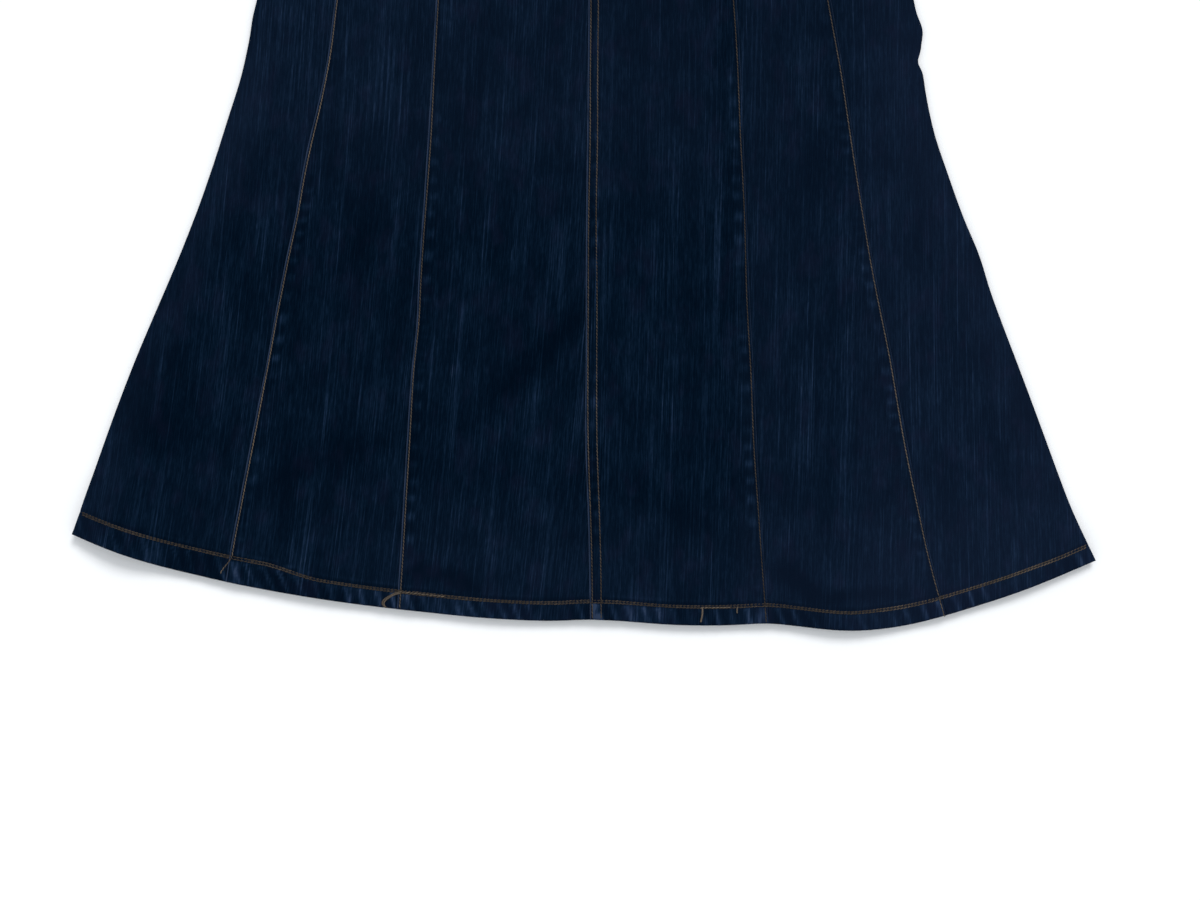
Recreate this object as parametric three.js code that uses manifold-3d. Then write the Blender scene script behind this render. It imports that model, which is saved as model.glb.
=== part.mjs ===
// A gored, flared denim skirt that lies flat with its front up.
//
// Millimetres. X runs across the skirt, Y from the hem to the waist, and Z up from the surface that
// it lies on. The back lies flat on that surface, and the front lies on the back. Left is -X.
import * as THREE from "three";
import { mergeVertices } from "three/addons/utils/BufferGeometryUtils.js";
import Module from "manifold-3d";

const wasm = await Module();
wasm.setup();

const { lerp, smoothstep } = THREE.MathUtils;

// The cloth and how it is turned and pressed.
const CLOTH = 1.1; // one layer of stretch denim
const GAP = 0.3; // between pieces that meet at a seam or lie on each other
const HEM_THICK = 3; // the hem, turned twice and pressed
const HEM_WIDTH = 12.5; // from the hem's fold to its stitching
const HEM_WIDTH_LEFT = 18; // the same on the left side gore, where the hem was turned up deeper
const ALLOWANCE = 11; // seam allowance, pressed under the gore nearer the centre
const ALLOWANCE_THICK = 1; // what a seam's two pressed allowances add to the wall
const ALLOWANCE_FADE = 5; // the slope at the allowance's cut edge
const BACK_HEM_SHORT = 1.5; // the back hem stays just inside the front one

// The waist, and the band sewn to it.
const BAND_HEIGHT = 38.5;
const BAND_THICK = 3; // two layers with their edges turned in
const BACK_WAIST = 290; // where the back gores end, and where both waists meet at the side seams
const FRONT_WAIST_DIP = 10; // how much lower the front waist is at its centre
const WAIST_HALF = 198;

// The closure at centre front: the right side laps over the left.
const UNDERLAP = 32; // how far the left band runs on under the right one
const LAP_LIFT = 3.6; // what that adds to the height of the right band
const ZIP_OFFSET = 8; // from the folded edge to the middle of the zip
const ZIP_FOOT = 165;
const ZIP_HEAD = 276;
const SLIDER_Y = 264;

// How far the front stands off the lone cloth where the layers under it are thicker.
const FIELD_TOP = 2 * CLOTH + GAP;
const HEM_STEP = 2 * HEM_THICK + GAP - FIELD_TOP;
const FLY_STEP = 1.5;
const SLIDER_STEP = 0.8;

// Edges and seam lines as [x, y] points, from the hem up.
const SIDE_LEFT = [
  [-373, -258], [-359, -219], [-327, -131], [-274, 0], [-247, 88],
  [-238, 131], [-221, 215], [-WAIST_HALF, BACK_WAIST], [-194, 330],
];
const SEAM_OUTER_LEFT = [
  [-260, -294], [-256, -268], [-242, -192], [-226, -112], [-207, -5], [-187, 81],
  [-176, 150], [-153, 290],
];
const SEAM_INNER_LEFT = [
  [-135, -315], [-126, -161], [-116, -25], [-109, 76], [-104, 170], [-97, 290],
];
const CENTRE_FRONT = [
  [4.5, -322], [1.5, -88], [3.5, 131], [3.5, 330],
];
const SEAM_INNER_RIGHT = [
  [134, -324], [123, -161], [117, -3], [112, 90], [107, 170], [98, 290],
];
const SEAM_OUTER_RIGHT = [
  [265, -320], [244, -236], [223, -128], [205, -31], [189, 76], [176, 150], [153, 290],
];
const SIDE_RIGHT = [
  [373, -277.5], [359, -248], [331, -175], [267, 0], [253, 44], [247.5, 74], [243.5, 87],
  [247, 104], [240.5, 131], [222, 215], [WAIST_HALF, BACK_WAIST], [194, 330],
];
// The hem's fold as [x, y] points, from left to right: it dips between the seams.
const HEM = [
  [-373, -258], [-331, -274.5], [-260, -293], [-185, -306.5], [-134, -313], [-68, -319.5],
  [-25, -321.5], [4.5, -320.5], [50, -323], [92, -325.5], [134, -323.3], [165, -326.3],
  [195, -328.5], [230, -325.5], [265, -317], [326, -297], [373, -277.5],
];

// Low waves that the flare leaves in the front: where the crest meets the hem, how far it moves to
// the right for each millimetre upwards, its half width, its height and how far up it reaches. The
// first lifts the left corner.
const WAVES = [
  { x: -338, lean: 0.35, half: 28, height: 5.4, reach: 130 },
  { x: -196, lean: 0.14, half: 30, height: 1.3, reach: 240 },
  { x: -66, lean: 0.02, half: 38, height: 1.1, reach: 200 },
  { x: 70, lean: -0.02, half: 34, height: 1.0, reach: 170 },
  { x: 190, lean: -0.16, half: 30, height: 2.8, reach: 210 },
  { x: 322, lean: -0.34, half: 32, height: 1.5, reach: 160 },
];

// Reads a line through a few points as one coordinate from the other: x from y, or y from x.
function lineThrough(points, from, to) {
  const corners = points.map(([x, y]) => new THREE.Vector3(x, y, 0));
  const curve = new THREE.CatmullRomCurve3(corners, false, "centripetal");
  const places = curve.getPoints(40 * points.length);
  return (value) => {
    let k = 1;
    while (k < places.length - 1 && places[k][from] < value) k += 1;
    const a = places[k - 1];
    const b = places[k];
    return lerp(a[to], b[to], (value - a[from]) / (b[from] - a[from]));
  };
}

const sideLeft = lineThrough(SIDE_LEFT, "y", "x");
const seamOuterLeft = lineThrough(SEAM_OUTER_LEFT, "y", "x");
const seamInnerLeft = lineThrough(SEAM_INNER_LEFT, "y", "x");
const centreFront = lineThrough(CENTRE_FRONT, "y", "x");
const seamInnerRight = lineThrough(SEAM_INNER_RIGHT, "y", "x");
const seamOuterRight = lineThrough(SEAM_OUTER_RIGHT, "y", "x");
const sideRight = lineThrough(SIDE_RIGHT, "y", "x");
const hemFold = lineThrough(HEM, "x", "y");

const frontWaist = (x) => BACK_WAIST - FRONT_WAIST_DIP * (1 - (x / WAIST_HALF) ** 2);
const backWaist = () => BACK_WAIST;
const backHem = (x) => hemFold(x) + BACK_HEM_SHORT;

// 1 up to a distance, and then a soft slope down to 0.
const near = (distance, full, fade) => 1 - smoothstep(distance, full, full + fade);

// The depth of the hem's turning, which is deeper at the left.
const hemWidth = (x) => lerp(HEM_WIDTH_LEFT, HEM_WIDTH, smoothstep(x, -235, -190));

// The front band lies on the back one. Its right part rises over the underlap and falls back beyond.
const UNDERLAP_BASE = BAND_THICK + GAP;
const overlapBase = (x) => UNDERLAP_BASE + LAP_LIFT * near(x - centreFront(BACK_WAIST), UNDERLAP, 40);

// A closed wall over a grid of places, where place(i, j) gives x, y and the heights of both faces.
// i runs along +X and j along +Y.
function wall(columns, rows, place) {
  const vertices = [];
  const index = [];
  const count = columns * rows;
  const places = [];
  for (let i = 0; i < columns; i += 1) {
    for (let j = 0; j < rows; j += 1) places.push(place(i, j));
  }
  for (const { x, y, top } of places) vertices.push(x, y, top);
  for (const { x, y, under } of places) vertices.push(x, y, under);
  const at = (i, j) => i * rows + j;
  const quad = (a, b, c, d) => index.push(a, b, c, a, c, d);
  for (let i = 0; i < columns - 1; i += 1) {
    for (let j = 0; j < rows - 1; j += 1) {
      const corners = [at(i, j), at(i + 1, j), at(i + 1, j + 1), at(i, j + 1)];
      quad(...corners);
      quad(...corners.map((corner) => corner + count).reverse());
    }
  }
  const rim = [];
  for (let i = 0; i < columns - 1; i += 1) rim.push(at(i, 0));
  for (let j = 0; j < rows - 1; j += 1) rim.push(at(columns - 1, j));
  for (let i = columns - 1; i > 0; i -= 1) rim.push(at(i, rows - 1));
  for (let j = rows - 1; j > 0; j -= 1) rim.push(at(0, j));
  rim.forEach((here, k) => {
    const next = rim[(k + 1) % rim.length];
    quad(here + count, next + count, next, here);
  });
  const geometry = new THREE.BufferGeometry();
  geometry.setAttribute("position", new THREE.Float32BufferAttribute(vertices, 3));
  geometry.setIndex(index);
  geometry.computeVertexNormals();
  return geometry;
}

// The front's own waves, at a place that is some distance above the hem.
function waveLift(x, aboveHem) {
  let lift = 0;
  for (const { x: foot, lean, half, height, reach } of WAVES) {
    const across = (x - foot - lean * aboveHem) / half;
    lift += height * Math.exp(-across * across) * near(aboveHem, 0, reach);
  }
  return lift;
}

// How much the zip, its slider and the underlap raise the front near the closure.
function closureLift(x, y, belowWaist, lapped) {
  const fromZip = Math.abs(x - centreFront(y) - ZIP_OFFSET);
  const zip = FLY_STEP * near(fromZip, 13, 16) * smoothstep(y, ZIP_FOOT - 48, ZIP_FOOT - 20);
  const slider = SLIDER_STEP * near(fromZip, 6, 16) * near(Math.abs(y - SLIDER_Y), 22, 20);
  const lap = lapped ? LAP_LIFT * near(x - centreFront(y), UNDERLAP, 40) * near(belowWaist, 0, 60) : 0;
  return zip + slider + lap;
}

// How each edge of a gore is made. An over edge is folded and lies on its neighbour with both
// allowances under it, and an under edge runs in under that fold. The back's allowances lie the same
// way, except at centre back, where they are pressed to the left. The shoulder is how far the
// allowances of the back hold the front up.
const OVER = { allowance: 1, backAllowance: 1, shoulder: ALLOWANCE };
const UNDER = { allowance: 0, backAllowance: 0, shoulder: 2 };
const CENTRE_OVER = { allowance: 1, backAllowance: 0, shoulder: ALLOWANCE };
const CENTRE_UNDER = { allowance: 0, backAllowance: 1, shoulder: ALLOWANCE };
const SIDE = { allowance: 0, backAllowance: 1, shoulder: ALLOWANCE };

// The heights of a back gore: flat underneath, with the hem and the allowances on its upper face.
function backFaces(gore, { x, fromLeft, fromRight, aboveHem }) {
  const { left, right } = gore;
  const strip = (edge, distance) => edge.backAllowance * near(distance, ALLOWANCE, ALLOWANCE_FADE);
  const hem = near(aboveHem, hemWidth(x), 3);
  const seams = Math.max(strip(left, fromLeft), strip(right, fromRight));
  const top = CLOTH + (HEM_THICK - CLOTH) * hem + ALLOWANCE_THICK * seams * (1 - 0.6 * hem);
  return { top, under: 0 };
}

// The heights of a front gore: it lies on the back and stands higher at hem, seams and waist.
function frontFaces(gore, { x, y, fromLeft, fromRight, aboveHem, belowWaist }) {
  const { left, right } = gore;
  const lapped = left === CENTRE_OVER;
  const strip = (edge, distance) => edge.allowance * near(distance, ALLOWANCE, ALLOWANCE_FADE);
  const shoulder = (edge, distance) => near(distance, edge.shoulder + ALLOWANCE_FADE, 10);
  const seams = Math.max(strip(left, fromLeft), strip(right, fromRight));
  const shoulders = Math.max(shoulder(left, fromLeft), shoulder(right, fromRight));
  const stack = near(aboveHem, hemWidth(x) + 4, 38);
  const folded = near(aboveHem, hemWidth(x), 3);
  const ownSeams = ALLOWANCE_THICK * seams * (1 - 0.6 * stack);
  const field =
    FIELD_TOP +
    HEM_STEP * stack +
    ALLOWANCE_THICK * shoulders * (1 - 0.6 * stack) +
    ownSeams +
    closureLift(x, y, belowWaist, lapped) +
    waveLift(x, aboveHem);
  const fromSide = Math.min(x - sideLeft(y), sideRight(y) - x);
  const insideBand = ((BAND_THICK + CLOTH) / 2) * lerp(0.55, 1, smoothstep(fromSide, 0, 25));
  const seat = (lapped ? overlapBase(x) : UNDERLAP_BASE) + insideBand;
  const top = lerp(field, seat, near(belowWaist, 0, 34));
  const thick = CLOTH + (HEM_THICK - CLOTH) * folded + ownSeams;
  return { top, under: top - thick };
}

// Rows of a gore: the hem's fold, its stitching, the slope above it, and then up to the waist.
const ROWS_ABOVE_TURNING = [3.5, 20, 46];
const ROWS_BELOW_WAIST = [36, 14, 0];
const MIDDLE_ROWS = 14;

// The height y of each row of a column, whose x is read from y.
function rowHeights(columnX, hem, waist) {
  let foot = -300;
  let head = BACK_WAIST;
  for (let k = 0; k < 12; k += 1) {
    foot = hem(columnX(foot));
    head = waist(columnX(head));
  }
  const turning = foot + hemWidth(columnX(foot));
  const low = ROWS_ABOVE_TURNING.map((rise) => turning + rise);
  const high = ROWS_BELOW_WAIST.map((drop) => head - drop);
  const middle = [];
  for (let k = 1; k <= MIDDLE_ROWS; k += 1) {
    middle.push(lerp(low.at(-1), high[0], k / (MIDDLE_ROWS + 1)));
  }
  return [foot, turning, ...low, ...middle, ...high];
}

// A gore between two lines. Its columns stand at the allowances' edges and in its middle.
function goreWall(gore, hem, waist, faces) {
  const { from, to } = gore;
  const inset = GAP / 2;
  const reach = ALLOWANCE + ALLOWANCE_FADE;
  const columns = [
    (y) => from(y) + inset,
    (y) => from(y) + ALLOWANCE,
    (y) => from(y) + reach,
    (y) => (from(y) + to(y)) / 2,
    (y) => to(y) - reach,
    (y) => to(y) - ALLOWANCE,
    (y) => to(y) - inset,
  ];
  const heights = columns.map((columnX) => rowHeights(columnX, hem, waist));
  return wall(columns.length, heights[0].length, (i, j) => {
    const y = heights[i][j];
    const x = columns[i](y);
    const place = {
      x,
      y,
      fromLeft: x - from(y),
      fromRight: to(y) - x,
      aboveHem: y - hem(x),
      belowWaist: waist(x) - y,
    };
    return { x, y, ...faces(gore, place) };
  });
}

// The gores from left to right. Only the right centre gore rises over the underlap.
const GORES = [
  { name: "side_gore_left", from: sideLeft, to: seamOuterLeft, left: SIDE, right: UNDER },
  { name: "middle_gore_left", from: seamOuterLeft, to: seamInnerLeft, left: OVER, right: UNDER },
  { name: "centre_gore_left", from: seamInnerLeft, to: centreFront, left: OVER, right: CENTRE_UNDER },
  { name: "centre_gore_right", from: centreFront, to: seamInnerRight, left: CENTRE_OVER, right: OVER },
  { name: "middle_gore_right", from: seamInnerRight, to: seamOuterRight, left: UNDER, right: OVER },
  { name: "side_gore_right", from: seamOuterRight, to: sideRight, left: UNDER, right: SIDE },
];

const denim = () => new THREE.MeshStandardMaterial({ color: 0x0a1830, roughness: 0.95, metalness: 0 });
const tapeCloth = () => new THREE.MeshStandardMaterial({ color: 0x10182c, roughness: 0.9, metalness: 0 });
const brass = () => new THREE.MeshStandardMaterial({ color: 0x8a6236, roughness: 0.42, metalness: 1 });

const skirt = new THREE.Group();

function addPiece(name, geometry, material) {
  const mesh = new THREE.Mesh(geometry, material);
  mesh.name = name;
  skirt.add(mesh);
}

function addGores() {
  for (const gore of GORES) {
    addPiece("back_" + gore.name, goreWall(gore, backHem, backWaist, backFaces), denim());
    addPiece("front_" + gore.name, goreWall(gore, hemFold, frontWaist, frontFaces), denim());
  }
}

// A closed geometry as a solid for cutting and joining, and back again.
function solidOf(geometry) {
  const bare = new THREE.BufferGeometry();
  const loose = geometry.index ? geometry.toNonIndexed() : geometry;
  bare.setAttribute("position", loose.getAttribute("position"));
  const merged = mergeVertices(bare, 1e-4);
  return new wasm.Manifold(
    new wasm.Mesh({
      numProp: 3,
      vertProperties: new Float32Array(merged.getAttribute("position").array),
      triVerts: new Uint32Array(merged.index.array),
    }),
  );
}

function geometryOf(solid) {
  const mesh = solid.getMesh();
  const geometry = new THREE.BufferGeometry();
  geometry.setAttribute("position", new THREE.BufferAttribute(mesh.vertProperties, 3));
  geometry.setIndex(new THREE.BufferAttribute(mesh.triVerts, 1));
  geometry.computeVertexNormals();
  return geometry;
}

// A flat plate with an outline in X and Y, and its lower face at a height.
function plate(outline, base, thick) {
  const settings = { depth: thick, bevelEnabled: false, curveSegments: 8 };
  return new THREE.ExtrudeGeometry(outline, settings).translate(0, 0, base);
}

function box(width, length, height, x, y, base) {
  return new THREE.BoxGeometry(width, length, height).translate(x, y, base + height / 2);
}

// A round solid on a line up from (x, y), with a profile of [radius, height] points.
function turned(profile, x, y, segments) {
  const points = profile.map(([radius, height]) => new THREE.Vector2(radius, height));
  return new THREE.LatheGeometry(points, segments).rotateX(Math.PI / 2).translate(x, y, 0);
}

// The button: a domed head on a shank through the buttonhole, and a tack through the underlap.
const BUTTON_X = centreFront(BACK_WAIST) + 14;
const BUTTON_Y = BACK_WAIST - FRONT_WAIST_DIP + BAND_HEIGHT / 2;
const BUTTON_SEGMENTS = 32;
const HEAD_RADIUS = 8.5;
const SHANK_RADIUS = 3;
const TACK_RADIUS = 4.5;
const UNDERLAP_TOP = UNDERLAP_BASE + BAND_THICK;
const OVERLAP_TOP = UNDERLAP_TOP + LAP_LIFT;
const HEAD_BASE = OVERLAP_TOP + GAP;

// The button's profile, grown by a clearance on its sides.
function buttonProfile(clear) {
  return [
    [0, UNDERLAP_BASE - clear],
    [TACK_RADIUS + clear, UNDERLAP_BASE - clear],
    [TACK_RADIUS + clear, UNDERLAP_BASE + 0.7 + clear],
    [1.6 + clear, UNDERLAP_BASE + 1 + clear],
    [1.6 + clear, UNDERLAP_TOP + GAP - clear],
    [SHANK_RADIUS + clear, UNDERLAP_TOP + GAP - clear],
    [SHANK_RADIUS + clear, HEAD_BASE - clear],
    [HEAD_RADIUS - 1 + clear, HEAD_BASE - clear],
    [HEAD_RADIUS + clear, HEAD_BASE + 0.5],
    [HEAD_RADIUS + clear, HEAD_BASE + 1.3],
    [HEAD_RADIUS - 0.8 + clear, HEAD_BASE + 2.1 + clear],
    [HEAD_RADIUS - 2.4, HEAD_BASE + 1.7 + clear],
    [3, HEAD_BASE + 2.1 + clear],
    [0, HEAD_BASE + 2.3 + clear],
  ];
}

function addButton() {
  addPiece("waist_button", turned(buttonProfile(0), BUTTON_X, BUTTON_Y, BUTTON_SEGMENTS), brass());
}

// The waistband. Its columns are spread evenly from one end to the other.
const BAND_COLUMNS = 16;
const BAND_ROWS = 5;

function bandWall(from, to, waist, base) {
  return wall(BAND_COLUMNS, BAND_ROWS, (i, j) => {
    const share = i / (BAND_COLUMNS - 1);
    const rise = GAP + ((BAND_HEIGHT - GAP) * j) / (BAND_ROWS - 1);
    const level = waist(lerp(from(BACK_WAIST), to(BACK_WAIST), share)) + rise;
    const x = lerp(from(level), to(level), share);
    const y = waist(x) + rise;
    const under = base(x);
    return { x, y, under, top: under + BAND_THICK };
  });
}

// A keyhole: a round eye for the shank, and a slit away from the fold.
function buttonhole() {
  const eye = new THREE.CylinderGeometry(3.6, 3.6, 8, 24).rotateX(Math.PI / 2);
  const slit = box(16, 1.2, 8, BUTTON_X + 8, BUTTON_Y, OVERLAP_TOP - 6);
  return solidOf(eye.translate(BUTTON_X, BUTTON_Y, OVERLAP_TOP - 2)).add(solidOf(slit));
}

function addWaistband() {
  const bandEnd = () => centreFront(BACK_WAIST) + UNDERLAP;
  const onBack = () => UNDERLAP_BASE;
  const left = solidOf(bandWall((y) => sideLeft(y), bandEnd, frontWaist, onBack));
  const tackHole = solidOf(turned(buttonProfile(GAP), BUTTON_X, BUTTON_Y, BUTTON_SEGMENTS));
  addPiece("waistband_front_left", geometryOf(left.subtract(tackHole)), denim());
  const right = solidOf(bandWall((y) => centreFront(y), sideRight, frontWaist, overlapBase));
  addPiece("waistband_front_right", geometryOf(right.subtract(buttonhole())), denim());
  addPiece("waistband_back", bandWall(sideLeft, sideRight, backWaist, () => 0), denim());
}

// The zip under the lap: two tapes held together by the closed chain, which ends in the slider.
const ZIP_X = centreFront(220) + ZIP_OFFSET;
const TAPE_WIDTH = 26;
const TAPE_THICK = 0.6;
const CHAIN_WIDTH = 4;
const CHAIN_THICK = 1.4;
const CHAIN_BASE = CLOTH + 1.1;
const TAPE_BASE = CHAIN_BASE + (CHAIN_THICK - TAPE_THICK) / 2;
const SLIDER_WIDTH = 9;
const SLIDER_LENGTH = 12;
const SLIDER_PLATE = 0.5;
const POST_Y = SLIDER_Y + 2.5;
const POST_LENGTH = 4;

function addZip() {
  const length = ZIP_HEAD - ZIP_FOOT;
  const chainHead = POST_Y - POST_LENGTH / 2 - GAP;
  const chainLength = chainHead - ZIP_FOOT;
  const tapes = solidOf(
    box(TAPE_WIDTH, length, TAPE_THICK, ZIP_X, ZIP_FOOT + length / 2, TAPE_BASE),
  );
  const chain = solidOf(
    box(CHAIN_WIDTH, chainLength, CHAIN_THICK, ZIP_X, ZIP_FOOT + chainLength / 2, CHAIN_BASE),
  );
  const opening = solidOf(
    box(CHAIN_WIDTH, ZIP_HEAD - chainHead + 1, 4, ZIP_X, (ZIP_HEAD + 1 + chainHead) / 2, CLOTH),
  );
  addPiece("zip_tape", geometryOf(tapes.subtract(opening).add(chain)), tapeCloth());
}

// The slider's outline: wide shoulders at the head and a narrower mouth at the foot.
function sliderOutline() {
  const half = SLIDER_WIDTH / 2;
  const foot = SLIDER_Y - SLIDER_LENGTH / 2;
  const head = SLIDER_Y + SLIDER_LENGTH / 2;
  const outline = new THREE.Shape();
  outline.moveTo(ZIP_X - half * 0.7, foot);
  outline.lineTo(ZIP_X + half * 0.7, foot);
  outline.lineTo(ZIP_X + half, SLIDER_Y);
  outline.lineTo(ZIP_X + half, head - 2);
  outline.quadraticCurveTo(ZIP_X + half, head, ZIP_X + half - 2, head);
  outline.lineTo(ZIP_X - half + 2, head);
  outline.quadraticCurveTo(ZIP_X - half, head, ZIP_X - half, head - 2);
  outline.lineTo(ZIP_X - half, SLIDER_Y);
  outline.closePath();
  return outline;
}

const LOWER_PLATE = CHAIN_BASE - GAP - SLIDER_PLATE;
const UPPER_PLATE = CHAIN_BASE + CHAIN_THICK + GAP;
const SLIDER_TOP = UPPER_PLATE + SLIDER_PLATE;
const PULL_THICK = 0.8;
const PULL_BASE = SLIDER_TOP + GAP;
const CROWN_WIDTH = 1.6;
const CROWN_LENGTH = 7;
const CROWN_FOOT = 1.2;
const CROWN_INSIDE = PULL_THICK + 2 * GAP;
const CROWN_BAR = 0.6;

// Two plates on a post between the tapes, and the crown that holds the pull.
function addSlider() {
  const postHeight = UPPER_PLATE - LOWER_PLATE;
  const crownHeight = SLIDER_PLATE / 2 + CROWN_INSIDE + CROWN_BAR;
  const crown = solidOf(
    box(CROWN_WIDTH, CROWN_LENGTH, crownHeight, ZIP_X, SLIDER_Y, UPPER_PLATE + SLIDER_PLATE / 2),
  ).subtract(
    solidOf(
      box(CROWN_WIDTH + 1, CROWN_LENGTH - 2 * CROWN_FOOT, CROWN_INSIDE, ZIP_X, SLIDER_Y, SLIDER_TOP),
    ),
  );
  const slider = solidOf(plate(sliderOutline(), LOWER_PLATE, SLIDER_PLATE))
    .add(solidOf(plate(sliderOutline(), UPPER_PLATE, SLIDER_PLATE)))
    .add(solidOf(box(2.6, POST_LENGTH, postHeight, ZIP_X, POST_Y, LOWER_PLATE + SLIDER_PLATE / 2)))
    .add(crown);
  addPiece("zip_slider", geometryOf(slider), brass());
}

// The pull: a flat tab that hangs towards the foot, with the crown through its eye.
function addPull() {
  const half = 2.8;
  const head = SLIDER_Y + 1.6;
  const foot = SLIDER_Y - 21;
  const tab = new THREE.Shape();
  tab.moveTo(ZIP_X - half, foot + half);
  tab.absarc(ZIP_X, foot + half, half, Math.PI, 2 * Math.PI, false);
  tab.lineTo(ZIP_X + half, head);
  tab.lineTo(ZIP_X - half, head);
  tab.closePath();
  const eye = new THREE.Path();
  const eyeHalf = CROWN_WIDTH / 2 + GAP;
  eye.moveTo(ZIP_X - eyeHalf, SLIDER_Y - CROWN_LENGTH / 2 - GAP);
  eye.lineTo(ZIP_X - eyeHalf, SLIDER_Y);
  eye.lineTo(ZIP_X + eyeHalf, SLIDER_Y);
  eye.lineTo(ZIP_X + eyeHalf, SLIDER_Y - CROWN_LENGTH / 2 - GAP);
  eye.closePath();
  tab.holes.push(eye);
  addPiece("zip_pull", plate(tab, PULL_BASE, PULL_THICK), brass());
}

addGores();
addWaistband();
addZip();
addSlider();
addPull();
addButton();

export default skirt;
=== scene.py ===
import math

import bpy
import numpy as np
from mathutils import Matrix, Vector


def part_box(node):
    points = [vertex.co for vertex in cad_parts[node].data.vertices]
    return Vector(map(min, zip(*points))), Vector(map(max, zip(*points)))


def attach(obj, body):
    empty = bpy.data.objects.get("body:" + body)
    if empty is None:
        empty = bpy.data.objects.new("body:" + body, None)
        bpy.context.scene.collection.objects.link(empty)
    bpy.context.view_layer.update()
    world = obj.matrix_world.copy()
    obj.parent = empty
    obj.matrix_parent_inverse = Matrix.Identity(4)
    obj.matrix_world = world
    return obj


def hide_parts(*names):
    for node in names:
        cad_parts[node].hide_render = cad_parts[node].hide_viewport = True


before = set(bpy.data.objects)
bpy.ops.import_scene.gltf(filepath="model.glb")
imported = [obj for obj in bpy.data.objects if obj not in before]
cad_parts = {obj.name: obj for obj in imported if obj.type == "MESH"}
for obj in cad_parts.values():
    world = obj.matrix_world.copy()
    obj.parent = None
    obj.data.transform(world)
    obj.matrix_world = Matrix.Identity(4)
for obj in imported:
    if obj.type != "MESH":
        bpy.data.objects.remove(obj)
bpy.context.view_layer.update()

# BACK GORES
# Six flared panels of dark stretch denim. They are sewn side by side, with the seam allowances
# pressed flat inside, and they lie on the surface with their outer faces down.
MM = 0.001
CLOTH = 1.1  # one layer, in mm like every length below
HEM_THICK = 3.0
ALLOWANCE = 11.0
ALLOWANCE_FADE = 5.0
ALLOWANCE_THICK = 1.0
BACK_REST = 0.4  # the outer face stands this far off the surface, on its own stitches
BACK_REACH = 0.25  # how far a gore runs out past its CAD wall, to meet the next one
BACK_FOLD = 0.16  # how much lower the folded side of a seam lies than its neighbour
BACK_COLUMNS, BACK_ROWS = 18, 150
HEM_ABOUT, WAIST_ABOUT = -300.0, 290.0  # the hem's and the waist's rough heights on the skirt
HEM_DEPTH = 13.3  # how deep the hem is turned up, and how much deeper at the left and right sides
DEEPER_LEFT, DEEPER_RIGHT = 5.2, 0.9


def near(distance, full, fade):
    """1 up to a distance, and then a soft slope down to 0."""
    share = np.clip((distance - full) / fade, 0, 1)
    return 1 - share * share * (3 - 2 * share)


def curve(knots, values):
    """A smooth line through a few places, as a function. It runs straight on beyond both ends."""
    slopes = np.gradient(values, knots)

    def at(where):
        where = np.asarray(where, float)
        k = np.clip(np.searchsorted(knots, where) - 1, 0, len(knots) - 2)
        width = knots[k + 1] - knots[k]
        s = np.clip((where - knots[k]) / width, 0, 1)
        inside = values[k] * (1 + 2 * s) * (1 - s) ** 2 + values[k + 1] * s * s * (3 - 2 * s)
        inside = inside + width * (slopes[k] * s * (1 - s) ** 2 - slopes[k + 1] * s * s * (1 - s))
        before = np.minimum(where - knots[0], 0)
        beyond = np.maximum(where - knots[-1], 0)
        return inside + slopes[0] * before + slopes[-1] * beyond

    return at


def outline(node):
    """The four edges of a CAD wall seen from above, in mm, each from its left or lower end."""
    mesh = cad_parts[node].data
    co = np.empty(len(mesh.vertices) * 3, np.float32)
    mesh.vertices.foreach_get("co", co)
    plan = np.round(co.reshape(-1, 3)[:, :2] / MM, 2)
    places, which = np.unique(plan, axis=0, return_inverse=True)
    which = which.reshape(-1)
    edges = set()
    for face in mesh.polygons:
        if face.normal.z > 0.5:
            corners = [int(which[v]) for v in face.vertices]
            edges.update(zip(corners, corners[1:] + corners[:1]))
    ahead = {a: b for a, b in sorted(edges) if (b, a) not in edges}
    loops = []
    while ahead:
        loop = [min(ahead)]
        while loop[-1] in ahead:
            loop.append(ahead.pop(loop[-1]))
        loops.append(loop[:-1])
    loop = places[max(loops, key=lambda one: np.ptp(places[one][:, 0]))]

    def stretch(start, end):
        first = int(np.argmin(loop @ np.array(start)))
        last = int(np.argmin(loop @ np.array(end)))
        return np.array([loop[(first + k) % len(loop)] for k in range((last - first) % len(loop) + 1)])

    low_left, low_right, high_right, high_left = (1, 0.5), (-1, 0.5), (-1, -0.5), (1, -0.5)
    return {
        "hem": stretch(low_left, low_right),
        "right": stretch(low_right, high_right),
        "waist": stretch(high_right, high_left)[::-1],
        "left": stretch(high_left, low_left)[::-1],
    }


# The gores of a layer from left to right, each with the way its left and right edges are made.
GORE_EDGES = {
    "side_gore_left": ("side", "under"), "middle_gore_left": ("over", "under"),
    "centre_gore_left": ("over", "under"), "centre_gore_right": ("over", "over"),
    "middle_gore_right": ("under", "over"), "side_gore_right": ("under", "side"),
}
# How the seven lines of a layer sway, from the left side to the right one: the height on the skirt,
# half the length and how far to the right. A very long one moves the whole line.
LONG = 1e4
SWAYS = (
    ((-66, 62, 1.4), (75, 20, 0.8), (118, 10, -0.8), (-250, 30, 1.0)),
    ((0, LONG, -0.7), (140, 40, -1.7), (-25, 30, 1.7), (-100, 22, -0.5)),
    ((0, LONG, -1.0), (90, 90, -0.8), (-105, 25, 1.2)),
    ((-190, 45, -1.4),),
    ((0, LONG, 0.9), (110, 60, 1.2), (-150, 50, 1.1)),
    ((0, LONG, 0.8), (-130, 50, 0.8), (-290, 50, -1.4)),
    ((109, 9.5, 3.1), (86, 6, -3.0), (-55, 20, 1.7), (-160, 60, 0.6)),
)


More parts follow.
